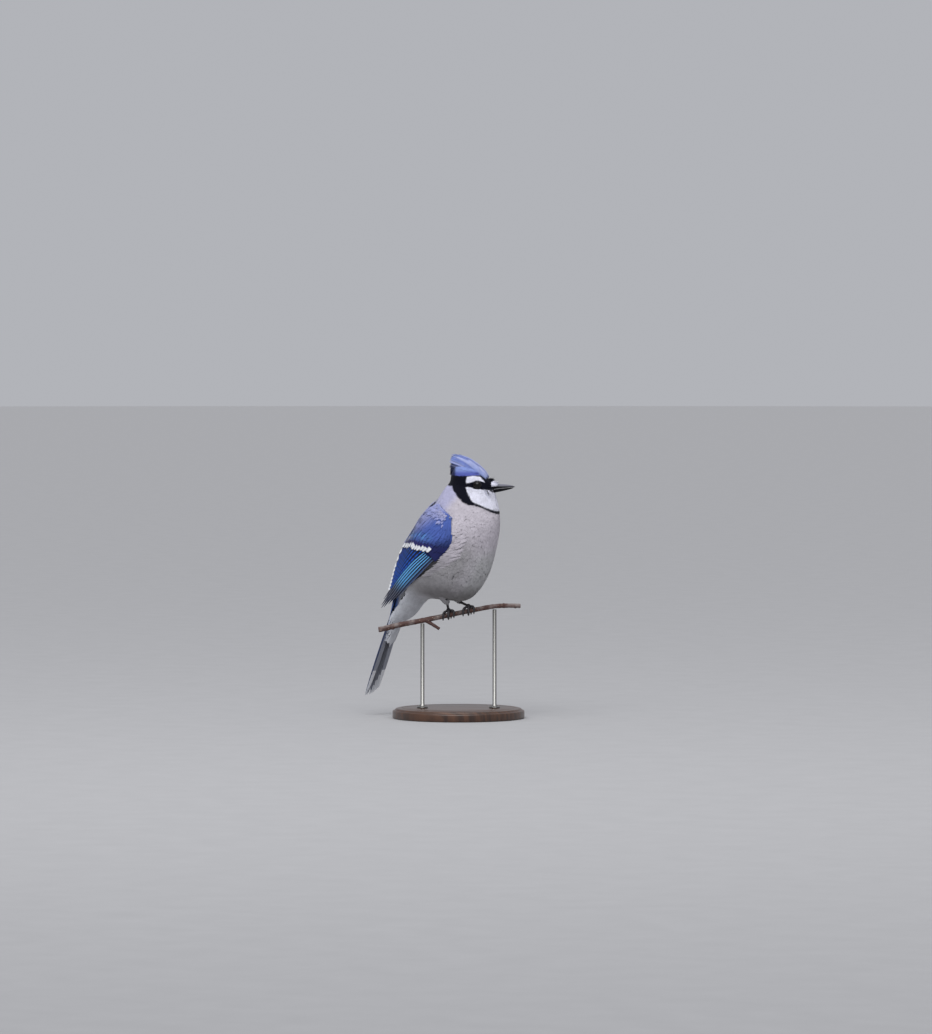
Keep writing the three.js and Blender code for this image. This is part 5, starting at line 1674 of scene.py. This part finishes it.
def face_tuft(tuft, tint, across, spread):
    """Fine vanes from root to tip, bowed up a little; across gives each one's place from side to side
    as a share of the tuft's own reach there, and the outer ones hang lower by its square."""
    count = len(across)
    v = np.linspace(0, 1, 6)
    root = np.array(tuft["root"]) + DRAW.normal(0, spread, (count, 2))
    tip = np.array(tuft["tip"]) + DRAW.normal(0, 1.3 * spread, (count, 2))
    place = blend(root[:, None], tip[:, None], v[:, None])
    out = across[:, None] * blend(*tuft["sides"], v)
    hanging = 2.2 * np.minimum(np.abs(across), 1)[:, None] ** 2 * (np.abs(across) <= 1)[:, None]
    bow = 0.35 * np.sin(np.pi * v) - hanging
    spine = head_point(place[..., 0], out, place[..., 1] + bow)
    normal = head_point(0, 0.8 * np.clip(across, -1, 1), 1) - head_point(0, 0, 0)
    side, up = frames(spine, np.broadcast_to(normal[:, None], spine.shape))
    half = tuft["half"] * feather_breadth(v, 0.1) * DRAW.uniform(0.8, 1.2, (count, 1))
    rings = vane_rings(spine, side, up, half, 3, 0.1, 0.05)
    colours = np.broadcast_to(tint, spine.shape) * (1 + DRAW.normal(0, 0.04, (count, 1, 1)))
    places = np.stack([0.45 + 0.1 * (across + 1) / 2, np.full(count, 0.78)], axis=-1)
    return {"rings": rings, "v": v, "colours": colours, "places": places}


def face_bristles():
    """The tufts over the bill's root, and the bristles at both corners of the mouth."""
    tints = [FACE_WHITE] * len(FACE_TUFTS) + [NAPE_BLACK]
    sets = []
    for tuft, tint in zip([*FACE_TUFTS, BLACK_TUFT], tints):
        sets.append(face_tuft(tuft, tint, np.linspace(-1, 1, tuft["count"]), 0.6))
    for side in (-1, 1):
        across = side * (1 + DRAW.normal(0, 0.04, BRISTLES["count"]))
        sets.append(face_tuft(BRISTLES, NAPE_BLACK, across, 1.3))
    vane_piece("face_bristles", sets, plumage_surface, "head_feathers")


face_bristles()

# The eyes
# A wet, nearly black brown eyeball on each side, inside a ring of thin dark lids with an almond opening.
# Each is set into the skin, where the feathers leave a gap for it.
EYE_RINGS, EYE_SIDES = 40, 48
LID_STEPS, LID_SIDES = 72, 12  # round the opening, and round the lid's section


def eye_wet():
    """Dark brown iris round a black pupil, smooth and wet. The map gives the way from the pupil's
    middle."""
    made, tree, shader = material("eye_wet", {"Roughness": 0.05, "Specular IOR Level": 0.3})
    away = node(tree, "SeparateXYZ", {0: node(tree, "UVMap", uv_map="gaze").outputs[0]}).outputs[1]
    iris = mixed(tree, noise(tree, object_places(tree), 1500.0, 2.0), paint(12, 7, 7), paint(26, 16, 14))
    rimmed = mixed(tree, between(tree, away, 0.3, 0.36), iris, paint(6, 5, 6))
    feed(tree, shader, mixed(tree, between(tree, away, 0.17, 0.19, 1.0, 0.0), rimmed, paint(3, 3, 4)))
    return made


def facing_out(side):
    """The way an eye faces: out to its side, a little forward and up."""
    return unit(head_point(0.16, side, 0.06) - head_point(0, 0, 0))


def eye_frame(side):
    """An eye's middle, and the unit vectors along the head, upright and out."""
    out = facing_out(side)
    along = head_point(1, 0, 0) - head_point(0, 0, 0)
    upright = unit(np.cross(out, along) * side)
    return head_point(EYE_FORWARD, side * EYE_SIDE, EYE_UP), np.cross(upright, out) * side, upright, out


def eyeball(side):
    """A ball whose poles lie on its gaze, with the clear front raised a little over the pupil."""
    middle, along, upright, out = eye_frame(side)
    polar = np.linspace(0.01, np.pi - 0.01, EYE_RINGS)[:, None]
    angle = np.linspace(0, 2 * np.pi, EYE_SIDES, endpoint=False)
    radius = EYE_RADIUS * (1 + 0.03 * np.exp(-((polar / 0.5) ** 2)) - 0.02)
    reach = radius * np.sin(polar)
    flat = (reach * np.cos(angle))[..., None] * along + (reach * np.sin(angle))[..., None] * upright
    points = middle + flat + (radius * np.cos(polar) + 0 * angle)[..., None] * out
    if side > 0:
        points = points[:, ::-1]
    gaze = np.broadcast_to(polar / np.pi, (EYE_RINGS, EYE_SIDES)).ravel()
    return points.reshape(-1, 3), closed_faces(EYE_RINGS, EYE_SIDES), gaze


def lid(side):
    """A ring of skin round the opening, its section a small half oval carried round an almond line on
    the ball."""
    middle, along, upright, out = eye_frame(side)
    angle = np.linspace(0, 2 * np.pi, LID_STEPS, endpoint=False)[:, None]
    section = np.linspace(0, 2 * np.pi, LID_SIDES, endpoint=False)[None]
    point = 1 + 0.1 * np.cos(2 * angle) ** 2
    reach_along = 3.35 * point * np.cos(angle)
    reach_up = 2.95 * np.sin(angle) * (1 - 0.1 * np.cos(angle) ** 2)
    grow = 1 + 0.085 * (1 + np.cos(section))
    reach_along = reach_along * grow
    reach_up = reach_up * grow
    on_ball = np.sqrt(np.clip((EYE_RADIUS + 0.12) ** 2 - reach_along**2 - reach_up**2, 0.5, None))
    height = on_ball + 0.24 * np.sin(section)
    flat = reach_along[..., None] * along + reach_up[..., None] * upright
    return (middle + flat + height[..., None] * out).reshape(-1, 3)


def lid_skin():
    """Thin blackish skin with fine wrinkles."""
    made, tree, shader = material("lid_skin", {"Roughness": 0.5})
    wrinkles = noise(tree, object_places(tree), 1800.0, 3.0)
    colour = mixed(tree, wrinkles, paint(10, 9, 12), paint(30, 27, 34))
    feed(tree, shader, colour, relief=(0.4, 0.0001, wrinkles))
    return made


eye_surface, lid_surface = eye_wet(), lid_skin()
for side_name, side in (("right", -1), ("left", 1)):
    eye_points, eye_faces, gaze = eyeball(side)
    eye_made = piece(f"eye_{side_name}_ball", eye_points, eye_faces, eye_surface, "eye", [f"eye_{side_name}"])
    eye_corners = np.concatenate([np.ravel(rows) for rows in eye_faces])
    map_layer(eye_made, "gaze", np.stack([0 * gaze, gaze], axis=-1)[eye_corners])
    lid_faces = grid_faces(LID_STEPS + 1, LID_SIDES, closed=True) % (LID_STEPS * LID_SIDES)
    lid_faces = lid_faces if side < 0 else lid_faces[:, ::-1]
    piece(f"lids_{side_name}", lid(side), [lid_faces], lid_surface, "head_feathers")

# The crest
# Long narrow feathers from the forehead to the back of the head, gathered into a swept-back peak.
# They are lavender-blue, paler along the top, partly in their own tone and partly as a painted highlight
# where the light from above falls, and nearly black at the back.
# Roots and tips from front to back, each forward and up, and how far to the side the roots reach
CREST_FRONT = [(17, 136.5), (13, 139.5), (8, 141.5), (2, 142), (-4, 141.5), (-9, 140.5)]
CREST_BACK = [(4, 149.7), (-7.5, 157.3), (-19.5, 159), (-21, 153.5), (-21.5, 147.5), (-22, 142.3)]
CREST_BREADTH = [5.5, 6, 6.5, 6.5, 6, 5]


def crest():
    """Rows of vanes from root to tip, bowed up by a tenth of their length. Across the head they part at
    the roots, gather at the tips, and lean over like a roof."""
    rows, across_count = 16, 9
    place = np.linspace(0, 5, rows)
    index, across = np.meshgrid(place, np.linspace(-1, 1, across_count), indexing="ij")
    index = np.clip(index + DRAW.uniform(-0.16, 0.16, index.shape), 0, 5).ravel()
    across = np.clip(across + DRAW.uniform(-0.08, 0.08, across.shape), -1, 1).ravel()
    root, tip = smooth_at(CREST_FRONT, index), smooth_at(CREST_BACK, index)
    tip = blend(root, tip, DRAW.uniform(0.94, 1.02, len(index))[:, None])
    breadth = np.interp(index, np.arange(6), CREST_BREADTH)
    length = np.linalg.norm(tip - root, axis=1)
    along = (tip - root) / length[:, None]
    v = vane_rows(9)
    lift = 0.1 * length[:, None] * 4 * v * (1 - v) - 3.6 * np.abs(across)[:, None] ** 1.5
    forward = blend(root[:, :1], tip[:, :1], v) + along[:, 1:] * lift
    up = blend(root[:, 1:], tip[:, 1:], v) - along[:, :1] * lift
    out = (across * breadth)[:, None] * blend(1, 0.5, v)
    spine = head_point(forward, out, up)
    lean = 1.15 * across[:, None]
    origin = head_point(0, 0, 0)
    normal = head_point(along[:, 1:] * np.cos(lean), np.sin(lean), -along[:, :1] * np.cos(lean)) - origin
    side, over = frames(spine, np.broadcast_to(normal, spine.shape))
    half = 1.5 * feather_breadth(v, 0.12) * DRAW.uniform(0.85, 1.15, (len(index), 1))
    rings = vane_rings(spine, side, over, half, 5, 0.25, 0.12, 0.03)
    colours = np.broadcast_to(CROWN_SKY, spine.shape)
    colours = laid(colours, CROWN_VIOLET, smooth(index, 1.5, 4.0)[:, None] * (1 - 0.7 * v))
    # Paler on the front rows and along the crest's middle top: partly its own tone, partly painted highlight
    pale = smooth(-index, -1.8, -0.2) * (1 - 0.4 * np.abs(across))
    colours = laid(colours, CROWN_PALE_AND_HIGHLIGHT, pale[:, None] * (0.6 + 0.4 * v))
    streak = DRAW.uniform(-0.5, 0.5, len(index))[:, None] * smooth(v, 0.1, 0.5)
    colours = laid(laid(colours, CROWN_PALE_AND_HIGHLIGHT, np.maximum(streak, 0)), CROWN_VIOLET, np.maximum(-streak, 0))
    colours = laid(colours, NAPE_BLACK, 0.9 * smooth(index, 2.7, 3.7)[:, None] * smooth(v, 0.4, 0.85))
    colours = laid(colours, NAPE_BLACK, 0.9 * smooth(index, 4.2, 4.8)[:, None] * smooth(v, 0.1, 0.5))
    places = np.stack([0.3 + 0.4 * index / 5, 0.86 + 0.1 * (across + 1) / 2], axis=-1)
    one = {"rings": rings, "v": v, "colours": colours, "places": places}
    vane_piece("crest_plumes", [one], plumage_surface, "crest_feathers", ["crest"])


crest()

# The studio
# A wide pale floor under an even pale surround, lit by a very broad sun as soft as an overcast sky.
# One weaker lamp stands above and in front, and a long lens looks on from the photo's side.
FLOOR_RINGS = [0.001, 0.3, 1, 3, 8, 20]  # in metres, as all of the studio's places are
FLOOR_SIDES = 96
VIEW_TURN = np.radians(30)
VIEW_RISE = np.radians(2)
LENS = 200
DISTANCE = 5.74
AIM_RIGHT, AIM_UP = 0.0075, 0.096


def stood(name, data, place, turn):
    """A mesh, lamp or camera put in the scene at its place and turn."""
    made = bpy.data.objects.new(name, data)
    made.location = place
    made.rotation_euler = turn
    bpy.context.scene.collection.objects.link(made)
    return made


def pale_floor():
    """A plain matt pale grey with a faint mottle."""
    made, tree, shader = material("pale_floor", {"Roughness": 0.85, "Specular IOR Level": 0.2})
    mottle = noise(tree, object_places(tree), 30.0, 3.0)
    feed(tree, shader, mixed(tree, mottle, paint(166, 166, 168), paint(174, 174, 176)))
    return made


def floor():
    """A wide disc level with the table top, given as rings of points."""
    radius = np.array(FLOOR_RINGS)[:, None]
    angle = np.linspace(0, 2 * np.pi, FLOOR_SIDES, endpoint=False)
    points = np.stack([radius * np.cos(angle), radius * np.sin(angle), 0 * radius * angle], axis=-1)
    faces = grid_faces(len(FLOOR_RINGS), FLOOR_SIDES, closed=True).tolist()
    mesh = bpy.data.meshes.new("floor")
    mesh.from_pydata(points.reshape(-1, 3).tolist(), [], faces + [list(range(FLOOR_SIDES - 1, -1, -1))])
    mesh.materials.append(pale_floor())
    ground = stood("floor", mesh, (0, 0, 0), (0, 0, 0))


def soft_light(name, place, aim, size, power):
    """A square soft light that points from its place to its aim."""
    data = bpy.data.lights.new(name, "AREA")
    data.size = size
    data.energy = power
    way = np.array(aim) - np.array(place)
    turn = (np.arctan2(np.hypot(way[0], way[1]), -way[2]), 0, np.arctan2(way[0], -way[1]) + np.pi)
    stood(name, data, place, turn)


def sky_light():
    """A very broad sun, as soft as an overcast sky, which lights the whole floor alike."""
    data = bpy.data.lights.new("sky", "SUN")
    data.angle = np.radians(70)
    data.energy = 1.9
    stood("sky", data, (0, 0, 0), (np.radians(32), 0, np.radians(22)))


def camera():
    """A long lens set back along the view's turn and rise, level with the photo's framing."""
    data = bpy.data.cameras.new("camera")
    data.lens = LENS
    data.sensor_width = 36
    data.clip_end = 100
    right = np.array([np.cos(VIEW_TURN), np.sin(VIEW_TURN), 0])
    level = np.cos(VIEW_RISE)
    back = np.array([np.sin(VIEW_TURN) * level, -np.cos(VIEW_TURN) * level, np.sin(VIEW_RISE)])
    up = np.cross(back, right)
    aim = np.array([0, 0, PERCH_HEIGHT * 0.001]) + right * AIM_RIGHT + up * AIM_UP
    turn = (np.pi / 2 - VIEW_RISE, 0, VIEW_TURN)
    bpy.context.scene.camera = stood("camera", data, aim + back * DISTANCE, turn)


def daylight():
    """An even pale surround that fills the shadows."""
    world = bpy.data.worlds.new("surround")
    world.use_nodes = True
    colour, strength = world.node_tree.nodes["Background"].inputs[:2]
    colour.default_value = rgba(paint(206, 208, 214))
    strength.default_value = 0.72
    bpy.context.scene.world = world


floor()
camera()
daylight()
sky_light()
soft_light("overhead", (0.4, -1.1, 1.9), (0, 0, 0.18), 1.2, 12)
bpy.context.scene.view_settings.view_transform = "Standard"
